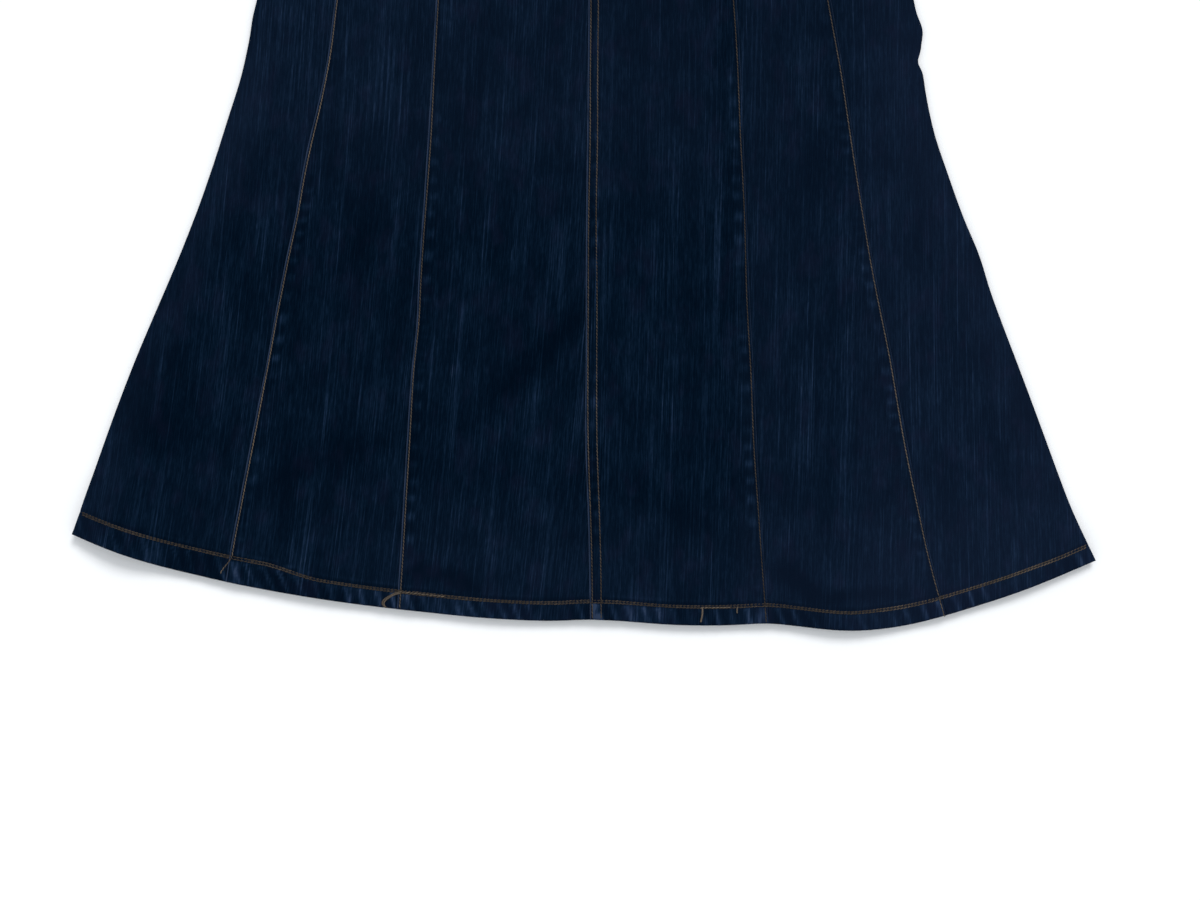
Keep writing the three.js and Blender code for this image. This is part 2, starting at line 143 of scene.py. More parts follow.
def swayed(line, sways):
    """A seam's line with its sways."""
    def at(y):
        return line(y) + sum(over * np.exp(-(((y - place) / half) ** 2)) for place, half, over in sways)

    return at


class Panel:
    """A gore or band part: its four edges as smooth lines, and how each side edge is made."""

    def __init__(self, node, left="side", right="side"):
        edges = outline(node)
        self.node = node
        self.left_edge, self.right_edge = left, right
        self.left = curve(edges["left"][:, 1], edges["left"][:, 0])
        self.right = curve(edges["right"][:, 1], edges["right"][:, 0])
        self.hem = curve(edges["hem"][:, 0], edges["hem"][:, 1])
        self.waist = curve(edges["waist"][:, 0], edges["waist"][:, 1])
        if "gore" in node:
            place = list(GORE_EDGES).index(node.split("_", 1)[1])
            self.left, self.right = swayed(self.left, SWAYS[place]), swayed(self.right, SWAYS[place + 1])
        loop = np.concatenate([edges["hem"], edges["right"], edges["waist"][::-1], edges["left"][::-1]])
        x, y = loop[:, 0], loop[:, 1]
        self.area = abs(np.sum(x * np.roll(y, -1) - np.roll(x, -1) * y)) / 2 * MM * MM
        self.flat = (np.ptp(x) * MM, np.ptp(y) * MM)


def hem_depth(x):
    """How deep the hem is turned up, which is more at the two sides."""
    return HEM_DEPTH + DEEPER_LEFT * near(x, -235, 45) + DEEPER_RIGHT * near(abs(x - 270), 50, 30)


def ripple(x, y, size, turn):
    """A soft uneven pattern from -1 to 1, with lumps of about this size."""
    a = np.sin((x * math.cos(turn) + y * math.sin(turn)) / size * 3.1 + turn * 5)
    b = np.sin((x * math.cos(turn + 2.1) + y * math.sin(turn + 2.1)) / size * 2.3 + turn * 9)
    c = np.sin((x * math.cos(turn + 4.3) + y * math.sin(turn + 4.3)) / size * 4.7 + turn * 3)
    return (a + b + 0.6 * c) / 2.6


def rounded(distance, radius):
    """How far a turned edge has opened to its full thickness at a distance from its rim."""
    return np.sqrt(np.clip(1 - (1 - np.clip(distance / radius, 0, 1)) ** 2, 0, 1))


RIM = np.array([0, 0.08, 0.3, 0.65, 1.1, 1.7, 2.4, 3.2, 4.3, 5.6, 7.2, 8.8, 10.4, 12, 14, 16.5])


def grid(panel, reach_left, reach_right, across, along, low_rim, high_rim):
    """Places over a panel: close together at its rims and even between. Reach moves a side rim out."""
    low = np.full(2 * len(RIM) + across, HEM_ABOUT)
    high = np.full(2 * len(RIM) + across, WAIST_ABOUT)
    share = np.concatenate([np.zeros(len(RIM)), np.linspace(0, 1, across + 2)[1:-1], np.ones(len(RIM))])
    inset = np.concatenate([RIM, np.zeros(across), -RIM[::-1]])

    def column(y):
        start = panel.left(y) - reach_left(y)
        end = panel.right(y) + reach_right(y)
        inner_start, inner_end = start + RIM[-1], end - RIM[-1]
        x = inner_start + (inner_end - inner_start) * share
        return np.where(share == 0, start + inset, np.where(share == 1, end + inset, x))

    for _ in range(12):
        low = panel.hem(column(low))
        high = panel.waist(column(high))
    steps = np.linspace(0, 1, along + 2)[1:-1, None]
    start, end = low + low_rim[-1], high - high_rim[-1]
    low_rows = [low + depth for depth in low_rim]
    high_rows = [high - depth for depth in high_rim[::-1]]
    y = np.array(low_rows + list(start + (end - start) * steps) + high_rows).T
    x = np.array([column(row) for row in y.T]).T
    return x, y


def shell(name, x, y, top, under, grain, **marks):
    """A closed cloth shell over a grid in mm. Its two faces share their rim."""
    columns, rows = x.shape
    upper = np.arange(columns * rows).reshape(columns, rows)
    lower = upper.copy()
    inner = (columns - 2) * (rows - 2)
    lower[1:-1, 1:-1] = columns * rows + np.arange(inner).reshape(columns - 2, rows - 2)

    def both(values, below=None):
        below = values if below is None else below
        return np.concatenate([values.reshape(-1), below[1:-1, 1:-1].reshape(-1)])

    points = np.stack([both(x), both(y), both(top, under)], axis=1) * MM

    def quads(index):
        corners = [index[:-1, :-1], index[1:, :-1], index[1:, 1:], index[:-1, 1:]]
        return np.stack(corners, axis=-1).reshape(-1, 4)

    faces = np.concatenate([quads(upper), quads(lower)[:, ::-1]])
    mesh = bpy.data.meshes.new(name)
    mesh.from_pydata(points.tolist(), [], faces.tolist())
    mesh.shade_smooth()
    loops = np.empty(len(mesh.loops), np.int32)
    mesh.loops.foreach_get("vertex_index", loops)
    uv = np.stack([both(grain[0]), both(grain[1])], axis=1) * MM
    mesh.uv_layers.new(name="grain").data.foreach_set("uv", uv[loops].astype(np.float32).reshape(-1))
    for mark, (upper_face, lower_face) in marks.items():
        values = both(upper_face, lower_face).astype(np.float32)
        mesh.attributes.new(mark, "FLOAT", "POINT").data.foreach_set("value", values)
    piece = bpy.data.objects.new(name, mesh)
    bpy.context.scene.collection.objects.link(piece)
    return piece


class Value:
    """A number at each point of a surface. Sums and products of values add Math nodes."""

    def __init__(self, finish, socket):
        self.finish, self.socket = finish, socket

    def math(self, operation, *others):
        return self.finish.node("ShaderNodeMath", {"operation": operation}, [self, *others])

    def __add__(self, other):
        return self.math("ADD", other)

    def __sub__(self, other):
        return self.math("SUBTRACT", other)

    def __rsub__(self, other):
        return self * -1 + other

    def __mul__(self, other):
        return self.math("MULTIPLY", other)

    __radd__, __rmul__ = __add__, __mul__

    def slope(self, low, high):
        """0 below one value and 1 above another, with a soft change between."""
        return self.finish.node(
            "ShaderNodeMapRange", {"interpolation_type": "SMOOTHSTEP"}, {0: self, 1: low, 2: high}
        )


class Finish:
    """A material. Every node in it is added by one method."""

    def __init__(self, name):
        self.material = bpy.data.materials.new(name)
        self.material.use_nodes = True
        self.tree = self.material.node_tree
        self.tree.nodes.clear()

    def node(self, kind, settings, inputs, output=0):
        made = self.tree.nodes.new(kind)
        for key, value in settings.items():
            if key == "stops":
                ramp = made.color_ramp.elements
                while len(ramp) < len(value):
                    ramp.new(0.5)
                for element, (position, colour) in zip(ramp, value):
                    element.position, element.color = position, (*colour, 1)
            else:
                setattr(made, key, value)
        for key, value in inputs.items() if isinstance(inputs, dict) else enumerate(inputs):
            if isinstance(value, Value):
                self.tree.links.new(value.socket, made.inputs[key])
            else:
                made.inputs[key].default_value = value
        return Value(self, made.outputs[output]) if len(made.outputs) else None

    def mark(self, name):
        return self.node("ShaderNodeAttribute", {"attribute_name": name}, {}, output="Fac")

    def noise(self, u, v, across, along, seed, detail=2.0):
        """Noise whose lumps have a size in mm across and along the grain."""
        place = self.node(
            "ShaderNodeCombineXYZ", {}, [u * (1 / (across * MM)), v * (1 / (along * MM)), seed]
        )
        return self.node(
            "ShaderNodeTexNoise",
            {"noise_dimensions": "3D"},
            {"Vector": place, "Scale": 1.0, "Detail": detail},
        )

    def mix(self, factor, first, second):
        return self.node("ShaderNodeMix", {"data_type": "RGBA"}, {0: factor, 6: first, 7: second}, output=2)

    def done(self, **inputs):
        sockets = {key.replace("_", " "): value for key, value in inputs.items()}
        shader = self.node("ShaderNodeBsdfPrincipled", {}, sockets)
        self.node("ShaderNodeOutputMaterial", {}, [shader])
        return self.material


def denim_finish():
    """Indigo twill with light slubs along the grain, paler cloth where it has rubbed, and painted shade in
    its creases, hollows and grooves.
    """
    f = Finish("denim")
    uv = f.node("ShaderNodeUVMap", {"uv_map": "grain"}, {})
    u = f.node("ShaderNodeSeparateXYZ", {}, [uv], output="X")
    v = f.node("ShaderNodeSeparateXYZ", {}, [uv], output="Y")
    fold, worn, shade, inside = f.mark("fold"), f.mark("worn"), f.mark("shade"), f.mark("inside")
    wash = f.mark("wash")

    slubs = f.noise(u, v, 1.0, 110.0, 0.0, detail=1.0).slope(0.55, 0.63)
    thick_slubs = f.noise(u, v, 1.5, 150.0, 7.3, detail=1.0).slope(0.60, 0.67)
    threads = f.noise(u, v, 0.9, 14.0, 3.1, detail=3.0)
    grit = f.noise(u, v, 0.85, 4.5, 6.4, detail=1.0)
    bands = f.noise(u, v, 12.0, 160.0, 5.7)
    clouds = f.noise(u, v, 24.0, 34.0, 9.2, detail=3.0)
    tints = f.noise(u, v, 14.0, 22.0, 2.6)
    twill = f.node(
        "ShaderNodeTexWave",
        {"wave_type": "BANDS", "bands_direction": "X"},
        {"Vector": f.node("ShaderNodeCombineXYZ", {}, [u * 1.0 + v * 0.55, 0.0, 0.0]), "Scale": 330.0},
        output="Fac",
    )
    strength = bands.slope(0.32, 0.66) * 0.5 + 0.5
    tone = threads.slope(0.36, 0.66) * 0.22 + slubs * strength * 0.27 + thick_slubs * strength * 0.25
    tone = tone + grit.slope(0.34, 0.68) * 0.13 + bands.slope(0.36, 0.68) * 0.08
    tone = tone + clouds.slope(0.34, 0.66) * 0.14 + twill * 0.04 - 0.045
    # The shade mark is painted shade: it darkens the cloth where creases, hollows and grooves would lie in
    # shade.
    tone = tone + worn * 0.66 - shade * 0.30
    colour = f.node(
        "ShaderNodeValToRGB",
        {"stops": [
            (0.0, (0.0002, 0.0028, 0.0080)),
            (0.25, (0.0007, 0.0045, 0.0118)),
            (0.55, (0.0028, 0.0095, 0.0230)),
            (0.85, (0.0088, 0.0205, 0.0465)),
            (1.0, (0.0210, 0.0360, 0.0700)),
        ]},
        [tone],
    )
    # This mark mixes the colour towards a paler grey-blue: evenly on the back and the bands, and on the
    # front more to the right, at the hip, the sides and the hem.
    colour = f.mix(wash * 0.15, colour, (0.020, 0.030, 0.068, 1))
    colour = f.mix(tints.slope(0.5, 0.72) * 0.08, colour, (0.016, 0.014, 0.042, 1))
    rubbed = (1 - fold.slope(0.4, 1.3)) * (threads.slope(0.25, 0.6) * 0.6 + 0.4)
    colour = f.mix(rubbed * 0.9, colour, (0.026, 0.041, 0.078, 1))
    colour = f.mix(inside, colour, (0.030, 0.042, 0.062, 1))
    relief = twill * 0.35 + threads * 0.6 + slubs * 0.5 + thick_slubs * 0.5
    bump = f.node("ShaderNodeBump", {}, {"Strength": 0.5, "Distance": 0.00025, "Height": relief})
    return f.done(Base_Color=colour, Roughness=0.95, Specular_IOR_Level=0.01, Normal=bump)


denim = denim_finish()
FAR = 99.0  # a distance in mm that no wear reaches


def dress(piece, replaced):
    """Gives a denim piece its finish and its place in the frame."""
    piece.data.materials.append(denim)
    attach(piece, "root")
    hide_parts(replaced)


# How far each gore's grain leans, in degrees.
GRAIN_LEANS = {
    "side_gore_left": 7.5, "middle_gore_left": 6.0, "centre_gore_left": 5.4,
    "centre_gore_right": 1.8, "middle_gore_right": 1.8, "side_gore_right": -0.8,
}
GRAIN_SHARE = 0.7  # the share of its lean that the grain has halfway up
GRAIN_BEND = 1200.0  # the larger, the less the lean grows towards the hem


def grain_of(name, x, y, offset):
    """How far a place is across and along the grain, which leans out more towards the hem."""
    lean = math.radians(GRAIN_LEANS[name])
    bent = GRAIN_SHARE * y - y * y / GRAIN_BEND
    return x * math.cos(lean) - bent * math.sin(lean) + offset, x * math.sin(lean) + y * math.cos(lean)


HEM_RIM = np.array([0, 0.12, 0.45, 0.95, 1.6, 2.6, 4.0])
WAIST_RIM = np.array([0, 0.1, 0.35, 0.8, 1.6])


def back_outer(panel, x, y):
    """The height of the back's outer face: almost flat, and lower where a seam is folded."""
    lower = 0 * x
    for edge, distance in ((panel.left_edge, x - panel.left(y)), (panel.right_edge, panel.right(y) - x)):
        if edge == "over":
            lower = np.maximum(lower, BACK_FOLD * near(distance, 9, 5))
    return BACK_REST - lower


def make_back(name):
    left, right = GORE_EDGES[name]
    if name == "centre_gore_right":
        left = "under"
    if name == "centre_gore_left":
        right = "over"
    panel = Panel("back_" + name, left, right)
    x, y = grid(
        panel, lambda y: BACK_REACH, lambda y: BACK_REACH, BACK_COLUMNS, BACK_ROWS, HEM_RIM, WAIST_RIM
    )
    from_left, from_right = x - panel.left(y), panel.right(y) - x
    above, below = y - panel.hem(x), panel.waist(x) - y
    hem = near(above, hem_depth(x), 3)
    seams = 0 * x
    for edge, distance in ((left, from_left), (right, from_right)):
        if edge != "under":
            seams = np.maximum(seams, near(distance, ALLOWANCE, ALLOWANCE_FADE))
    top = CLOTH + (HEM_THICK - CLOTH) * hem + ALLOWANCE_THICK * seams * (1 - 0.6 * hem)
    outer = back_outer(panel, x, y) + 0.05 * ripple(x, y, 14, 1.0)
    opened = rounded(from_left + BACK_REACH, 0.7) * rounded(from_right + BACK_REACH, 0.7)
    opened = opened * rounded(above, 1.5) * rounded(below, 0.8)
    middle = (top + outer) / 2
    fold = np.full(x.shape, FAR)
    for edge, distance in ((left, from_left), (right, from_right)):
        if edge == "over":
            fold = np.minimum(fold, np.maximum(distance, 0))
    rope = 0.5 + 0.5 * np.cos((x + 0.8 * above) / 9 * 2 * math.pi + 2 * ripple(x, y, 40, 0.4))
    worn = 0.30 * rope * near(above, hem_depth(x) - 2, 1.5) + 0.3 * near(above, 0.5, 1.2)
    inner = near(-above, -hem_depth(x) - 1, 1)
    piece = shell(
        "denim_back_" + name, x, y,
        middle + (top - middle) * opened, middle - (middle - outer) * opened,
        grain_of(name, -x, y, 900.0),
        fold=(fold * 0 + FAR, fold), worn=(0 * x, worn), shade=(0 * x, 0 * x),
        inside=(0.8 * inner * opened, 0 * x), wash=(0 * x + 0.3, 0 * x + 0.3),
    )
    dress(piece, "back_" + name)
    return panel


back_panels = {name: make_back(name) for name in GORE_EDGES}

# FRONT GORES
# The same six panels, face up on the back. At each seam the gore nearer the centre is folded under
# and lies on its neighbour, held by topstitching. The hem is turned twice and ropes as it wears.
GAP = 0.3
FIELD_TOP = 2 * CLOTH + GAP
HEM_STEP = 2 * HEM_THICK + GAP - FIELD_TOP
BACK_WAIST = 290.0
SEAM_STEP = 1.3  # how far a folded edge stands above its neighbour
TUCK = 3.0  # how far the neighbour runs in under the fold
STITCH_IN = 1.9  # from a fold to its row of stitches
GAUGE = 6.4  # between the two rows at centre front, and how much closer they are from the middle up
GAUGE_CLOSER = 1.1
BAND_THICK = 3.0
UNDERLAP = 32.0
LAP_LIFT = 3.6
ZIP_OFFSET = 8.0
ZIP_FOOT = 165.0
SLIDER_Y = 264.0

# Low waves left by the flare: the crest's place at the hem, how far it moves to the right for each
# millimetre upwards, its half width, its height and how far up it reaches.
WAVES = (
    (-338, 0.35, 28, 7.4, 130), (-196, 0.14, 30, 1.3, 240), (-66, 0.02, 38, 1.1, 200),
    (70, -0.02, 34, 1.0, 170), (190, -0.16, 30, 2.8, 210), (322, -0.34, 32, 1.5, 160),
)
# Shallow creases: both ends, the half width and how dark the painted shade in the hollow is. The cloth
# stands up a little on each side of the hollow.
CREASES = (
    (5, -86, -66, -162, 9, 0.9), (-232, -224, -142, -190, 10, 0.8), (138, -282, 170, -305, 7, 1.2),
    (168, -308, 236, -302, 5, 0.9), (-130, -284, -76, -299, 6, 1.2), (-322, -120, -312, -200, 16, 0.7),
    (-216, -205, -222, -262, 5, 0.7), (40, -232, 96, -262, 11, 0.5), (300, -120, 326, -196, 12, 0.5),
    (-80, 96, -96, 20, 10, 0.4), (150, 60, 172, -20, 11, 0.4), (-150, 20, -166, -60, 10, 0.5),
    (250, -20, 276, -86, 12, 0.4), (52, 150, 60, 40, 14, 0.3),
)

front_panels = {name: Panel("front_" + name, *edges) for name, edges in GORE_EDGES.items()}
centre_front = front_panels["centre_gore_right"].left
side_left = front_panels["side_gore_left"].left
side_right = front_panels["side_gore_right"].right


def across_line(x, y, crease):
    """How far a place is from a crease's line, and 1 along it with soft ends."""
    x0, y0, x1, y1 = crease[:4]
    length = math.hypot(x1 - x0, y1 - y0)
    along = ((x - x0) * (x1 - x0) + (y - y0) * (y1 - y0)) / length
    away = ((x - x0) * (y1 - y0) - (y - y0) * (x1 - x0)) / length
    bend = 0.04 * length * np.sin(np.clip(along / length, 0, 1) * math.pi)
    outside = np.maximum(-along, along - length)
    return away + bend, near(outside, -0.25 * length, 0.45 * length)


def puckers(y, side):
    """The pulled lumps beside a row of stitches, from 0 to 1: unlike in size, and 6 to 15 mm apart."""
    wide = np.cos(y / 13.1 * 2 * math.pi + 2.6 * np.sin(y / 37 + side) + 1.9 * np.sin(y / 17 + 2 * side))
    small = np.cos(y / 6.3 * 2 * math.pi + 2.2 * np.sin(y / 29 + 2 * side))
    uneven = np.clip(0.5 + 0.7 * np.sin(y / 21 + 3 * side) * np.sin(y / 53 + side), 0, 1)
    return np.clip((0.5 + 0.5 * wide) ** 2 * uneven + 0.15 * (0.5 + 0.5 * small) ** 2 * (1 - uneven), 0, 1)


def hem_rope(x, y, above):
    """The slanting twist of a stitched hem, from -1 to 1. Its ridges are about 11 mm apart."""
    twist = np.cos((x + 0.4 * above) / 11.3 * 2 * math.pi + 3.1 * ripple(x, y, 52, 0.7))
    return 0.75 * twist + 0.25 * np.cos((x + 0.2 * above) / 8.1 * 2 * math.pi + 2 * ripple(x, y, 37, 1.7))


def centre_seam(line):
    """Whether a seam line is the one at the centre."""
    return abs(float(line(0.0))) < 20


def second_row(y):
    """How far the second row of stitches at the centre is from the fold."""
    return STITCH_IN + GAUGE - GAUGE_CLOSER * near(-y, 0, 100)


def front_layers(panel, x, y):
    """The height of the front's upper face and how thick it is, in mm."""
    from_left, from_right = x - panel.left(y), panel.right(y) - x
    above, below = y - panel.hem(x), panel.waist(x) - y
    lapped = panel.node == "front_centre_gore_right"
    stack = near(above, hem_depth(x) + 4, 38)
    turned = near(above, hem_depth(x), 3)
    seams, shoulders, lumps, groove = 0 * x, 0 * x, 0 * x, 0 * x
    for edge, distance, line in (
        (panel.left_edge, from_left, panel.left), (panel.right_edge, from_right, panel.right)
    ):
        centre = centre_seam(line)
        shoulder = 2 if edge == "under" and not centre else ALLOWANCE
        shoulders = np.maximum(shoulders, near(distance, shoulder + ALLOWANCE_FADE, 10))
        if edge == "over":
            seams = np.maximum(seams, near(distance, ALLOWANCE - 0.5, 2.6))
            key = float(line(0.0)) / 40
            window = near(-distance, -2.6, 0.8) * near(distance, 9.0, 2.0)
            lumps = np.maximum(lumps, 0.34 * puckers(y, key) * window)
            groove = np.maximum(groove, 0.28 * near(abs(distance - STITCH_IN), 0.2, 0.9))
            if centre:
                groove = np.maximum(groove, 0.28 * near(abs(distance - second_row(y)), 0.2, 0.9))
    rise = SEAM_STEP * seams * (1 - 0.55 * turned)
    from_zip = abs(x - centre_front(y) - ZIP_OFFSET)
    zip_lift = 1.5 * near(from_zip, 13, 16) * (1 - near(y, ZIP_FOOT - 48, 28))
    slider_lift = 0.8 * near(from_zip, 6, 16) * near(abs(y - SLIDER_Y), 22, 20)
    lap = LAP_LIFT * near(x - centre_front(y), UNDERLAP, 40) * near(below, 0, 60) * lapped
    waves = 0 * x
    for foot, lean, half, height, reach in WAVES:
        waves = waves + height * np.exp(-(((x - foot - lean * above) / half) ** 2)) * near(above, 0, reach)
    folds = 0 * x
    for crease in CREASES:
        away, along = across_line(x, y, crease)
        half, dark = crease[4:]
        folds = folds + 0.9 * dark * along * (
            np.exp(-(((away - 1.7 * half) / half) ** 2)) + 0.7 * np.exp(-(((away + 1.7 * half) / half) ** 2))
        )
    hem_band = near(above, hem_depth(x) - 1.5, 2.5)
    roping = 0.3 * (1 + hem_rope(x, y, above)) * hem_band * near(-above, -1.0, 2.5)
    hem_groove = 0.42 * near(abs(above - hem_depth(x)), 1.3, 1.6)
    loose = 0.22 * (1 + ripple(x, y, 38, 0.3)) + 0.10 * (1 + ripple(x, y, 15, 1.9))
    field = FIELD_TOP + HEM_STEP * stack + ALLOWANCE_THICK * shoulders * (1 - 0.6 * stack)
    field = field + rise + lumps + zip_lift + slider_lift + lap + waves + folds * (1 - seams) + loose
    field = field + roping - groove - hem_groove
    base = BAND_THICK + GAP
    if lapped:
        base = base + LAP_LIFT * near(x - centre_front(BACK_WAIST), UNDERLAP, 40)
    from_side = np.minimum(x - side_left(y), side_right(y) - x)
    seat = base + (BAND_THICK + CLOTH) / 2 * (1 - 0.45 * near(from_side, 0, 25))
    top = field + (seat - field) * near(below, 0, 34)
    return top, CLOTH + (HEM_THICK - CLOTH) * turned


def front_grey_blue_mix(x, y, above):
    """How far the front's colour is mixed towards a paler grey-blue, from 0 to 1: more on the right, at the
    hip, at the sides and at the hem.
    """
    right = 0.36 * near(-x, -125, 22) + 0.32 * near(-x, -215, 30)
    low = (0.1 + 0.2 * near(-x, 100, 120)) * near(above, 40, 70)
    hip = (0.42 - 0.35 * near(-x, -110, 30)) * near(-y, -60, 120)
    rims = 0.4 * near(np.minimum(x - side_left(y), side_right(y) - x), 8, 30) * near(y, 60, 90)
    return np.clip(right + low + hip + rims, 0, 1)


FRONT_COLUMNS = {
    "side_gore_left": 34, "middle_gore_left": 40, "centre_gore_left": 44,
    "centre_gore_right": 42, "middle_gore_right": 42, "side_gore_right": 34,
}
FRONT_ROWS = 262


def make_front(name):
    panel = front_panels[name]

    def reach(edge, line):
        """How far the cloth runs on past a seam line: far under a fold, except near its two ends."""
        if edge != "under":
            return lambda y: 0.1 + 0 * y
        foot = float(panel.hem(line(HEM_ABOUT))) + 19
        return lambda y: 0.4 + (TUCK - 0.4) * (1 - near(y - foot, 0, 8)) * near(y, 272, 4)

    reach_left, reach_right = reach(panel.left_edge, panel.left), reach(panel.right_edge, panel.right)
    x, y = grid(panel, reach_left, reach_right, FRONT_COLUMNS[name], FRONT_ROWS, HEM_RIM, WAIST_RIM)
    from_left, from_right = x - panel.left(y), panel.right(y) - x
    above, below = y - panel.hem(x), panel.waist(x) - y
    top, thick = front_layers(panel, x, y)
    under = top - thick
    rim = np.minimum(x - x[:1], x[-1:] - x)
    opened = rounded(rim, 0.9) * rounded(above, 1.6) * rounded(below, 0.8)
    middle = top - thick * 0.5
    fold = np.full(x.shape, FAR)
    worn, shade = 0 * x, 0 * x
    for edge, distance, line in (
        (panel.left_edge, from_left, panel.left), (panel.right_edge, from_right, panel.right)
    ):
        if edge != "over":
            continue
        key = float(line(0.0)) / 40
        fold = np.minimum(fold, np.maximum(distance, 0) + 0.75 * (x > 20))
        window = near(-distance, -3.0, 0.9) * near(distance, 8.6, 1.8)
        lower = 0.35 + 0.65 * near(y, -60, 190)
        worn = np.maximum(worn, (0.3 if centre_seam(line) else 0.5) * puckers(y, key) * window * lower)
        # Painted shade: darker in the troughs between the puckers, and in a thin line along the groove just
        # past the stitches.
        shade = np.maximum(shade, np.clip(0.5 - puckers(y, key), 0, 1) * 0.8 * window * lower)
        shade = np.maximum(shade, 1.1 * near(abs(distance - STITCH_IN - 1.0), 0.1, 0.7))
        ends = near(above, hem_depth(x) - 2.5, 1.5) * near(-distance, -2.4, 0.8) * near(distance, 7.5, 3)
        ends = ends * np.clip(0.8 + 0.6 * ripple(x, y, 7, 0.5), 0.3, 1.1)
        worn = np.maximum(worn, (2.1 if centre_seam(line) else 0.95) * ends)
    rope = np.clip(hem_rope(x, y, above), 0, 1)
    band = near(above, hem_depth(x) - 2.2, 1.2)
    patchy = np.clip(0.55 + 0.8 * ripple(x, y, 30, 2.2), 0, 1)
    worn = np.maximum(worn, (0.19 + 0.08 * near(abs(x + 10), 60, 40) + 0.9 * rope * patchy) * band)
    worn = np.maximum(worn, 0.5 * near(above, 0.4, 1.4) * np.clip(0.5 + ripple(x, y, 24, 0.2), 0, 1))
    worn = np.maximum(worn, 0.3 * near(abs(above - hem_depth(x) - 3.4), 0.2, 1.6) * patchy)
    # Painted shade: darker in the hollows between the hem's rope ridges, and along the groove just above its
    # stitching.
    hollows = 1.2 * (1 - rope) * band * np.clip(0.5 + ripple(x, y, 26, 1.2), 0, 1)
    shade = np.maximum(shade * (1 - band), hollows)
    shade = np.maximum(shade, 0.7 * near(abs(above - hem_depth(x) - 2.2), 0.3, 1.0))
    # Painted shade in the hollow along each crease.
    for crease in CREASES:
        away, along = across_line(x, y, crease)
        half, dark = crease[4:]
        shade = np.maximum(shade, dark * along * np.exp(-((away / half) ** 2)))
    inner = near(-above, -hem_depth(x) - 1, 1)
    piece = shell(
        "denim_front_" + name, x, y,
        middle + (top - middle) * opened, middle - (middle - under) * opened,
        grain_of(name, x, y, 0.0),
        fold=(fold, fold * 0 + FAR), worn=(worn, 0 * x), shade=(shade, 0 * x),
        inside=(0 * x, 0.8 * inner * opened), wash=(front_grey_blue_mix(x, y, above), 0 * x),
    )
    dress(piece, "front_" + name)
    "back_" + name


for name in GORE_EDGES:
    make_front(name)

# WAISTBAND
# Three straight strips of the same denim, each folded double and edge-stitched. The front left one
# runs on under the right one as an underlap, and the right one has a keyhole buttonhole.
BAND_RIM = np.array([0, 0.12, 0.45, 1.0, 1.7, 2.5])
BAND_COLUMNS, BAND_ROWS = 70, 14
EDGE_STITCH = 2.2  # from a band's edge to its row of stitches


def band_base(panel, x):
    """The height of a band's lower face in mm."""
    if panel.node == "waistband_back":
        return 0 * x
    lap = near(x - centre_front(BACK_WAIST), UNDERLAP, 40) * (panel.node == "waistband_front_right")
    return BAND_THICK + GAP + LAP_LIFT * lap


def band_top(panel, x, y):
    """The height of a band's upper face: a little full between its two rows of stitches."""
    above, below = y - panel.hem(x), panel.waist(x) - y
    edge = np.minimum(above, below)
    sunk = near(abs(edge - EDGE_STITCH), 0.3, 1.0)
    full = near(-edge, -EDGE_STITCH - 1, 6)
    rope = 0.5 + 0.5 * np.cos(x / 8.5 * 2 * math.pi + 2 * ripple(x, y, 40, 0.9))
    lumps = 0.12 * rope * near(edge, 6, 4)
    uneven = lumps + 0.1 * ripple(x, y, 30, 1.4)
    return band_base(panel, x) + BAND_THICK - 0.35 + 0.2 * full - 0.2 * sunk + uneven


def make_band(name):
    panel = Panel(name)
    x, y = grid(panel, lambda y: 0 * y, lambda y: 0 * y, BAND_COLUMNS, BAND_ROWS, BAND_RIM, BAND_RIM)
    above, below = y - panel.hem(x), panel.waist(x) - y
    edge = np.minimum(above, below)
    sides = np.minimum(x - x[:1], x[-1:] - x)
    back = name == "waistband_back"
    top = band_top(panel, x, y)
    under = band_base(panel, x) + (BACK_REST if back else 0.1)
    opened = rounded(edge, 1.3) * rounded(sides, 1.3)
    middle = (top + under) / 2
    rope = 0.5 + 0.5 * np.cos(x / 8.5 * 2 * math.pi + 2 * ripple(x, y, 40, 0.9))
    worn = np.maximum(0.45 * rope * near(edge, 3.5, 3), 0.3 * near(edge, 0.4, 1.6))
    rim = np.minimum(edge, sides)
    faces = (FAR + 0 * x, rim) if back else (rim, FAR + 0 * x)
    wear = (0 * x, worn) if back else (worn, 0 * x)
    piece = shell(
        "denim_" + name, x, y, middle + (top - middle) * opened, middle - (middle - under) * opened,
        (y + 500, x), fold=faces, worn=wear, shade=(0 * x, 0 * x), inside=(0 * x, 0 * x),
        wash=(0 * x + 0.35, 0 * x + 0.35),
    )
    dress(piece, name)
    return piece, panel


bands = {}
for name in ("waistband_back", "waistband_front_left", "waistband_front_right"):
    bands[name] = make_band(name)

# BUTTON
# A brass jeans button: a hollow head with a rolled rim, riveted through the underlap to a tack
# behind it. Its head stands on the right band, over the eye of the buttonhole.
button_low, button_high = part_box("waist_button")
BUTTON = (button_low + button_high) / 2
HEAD_RADIUS = (button_high.x - button_low.x) / 2
SHANK_RADIUS = 3 * MM
TACK_RADIUS = 4.5 * MM
HEAD_THICK = 2.3 * MM
TACK_THICK = 0.8 * MM


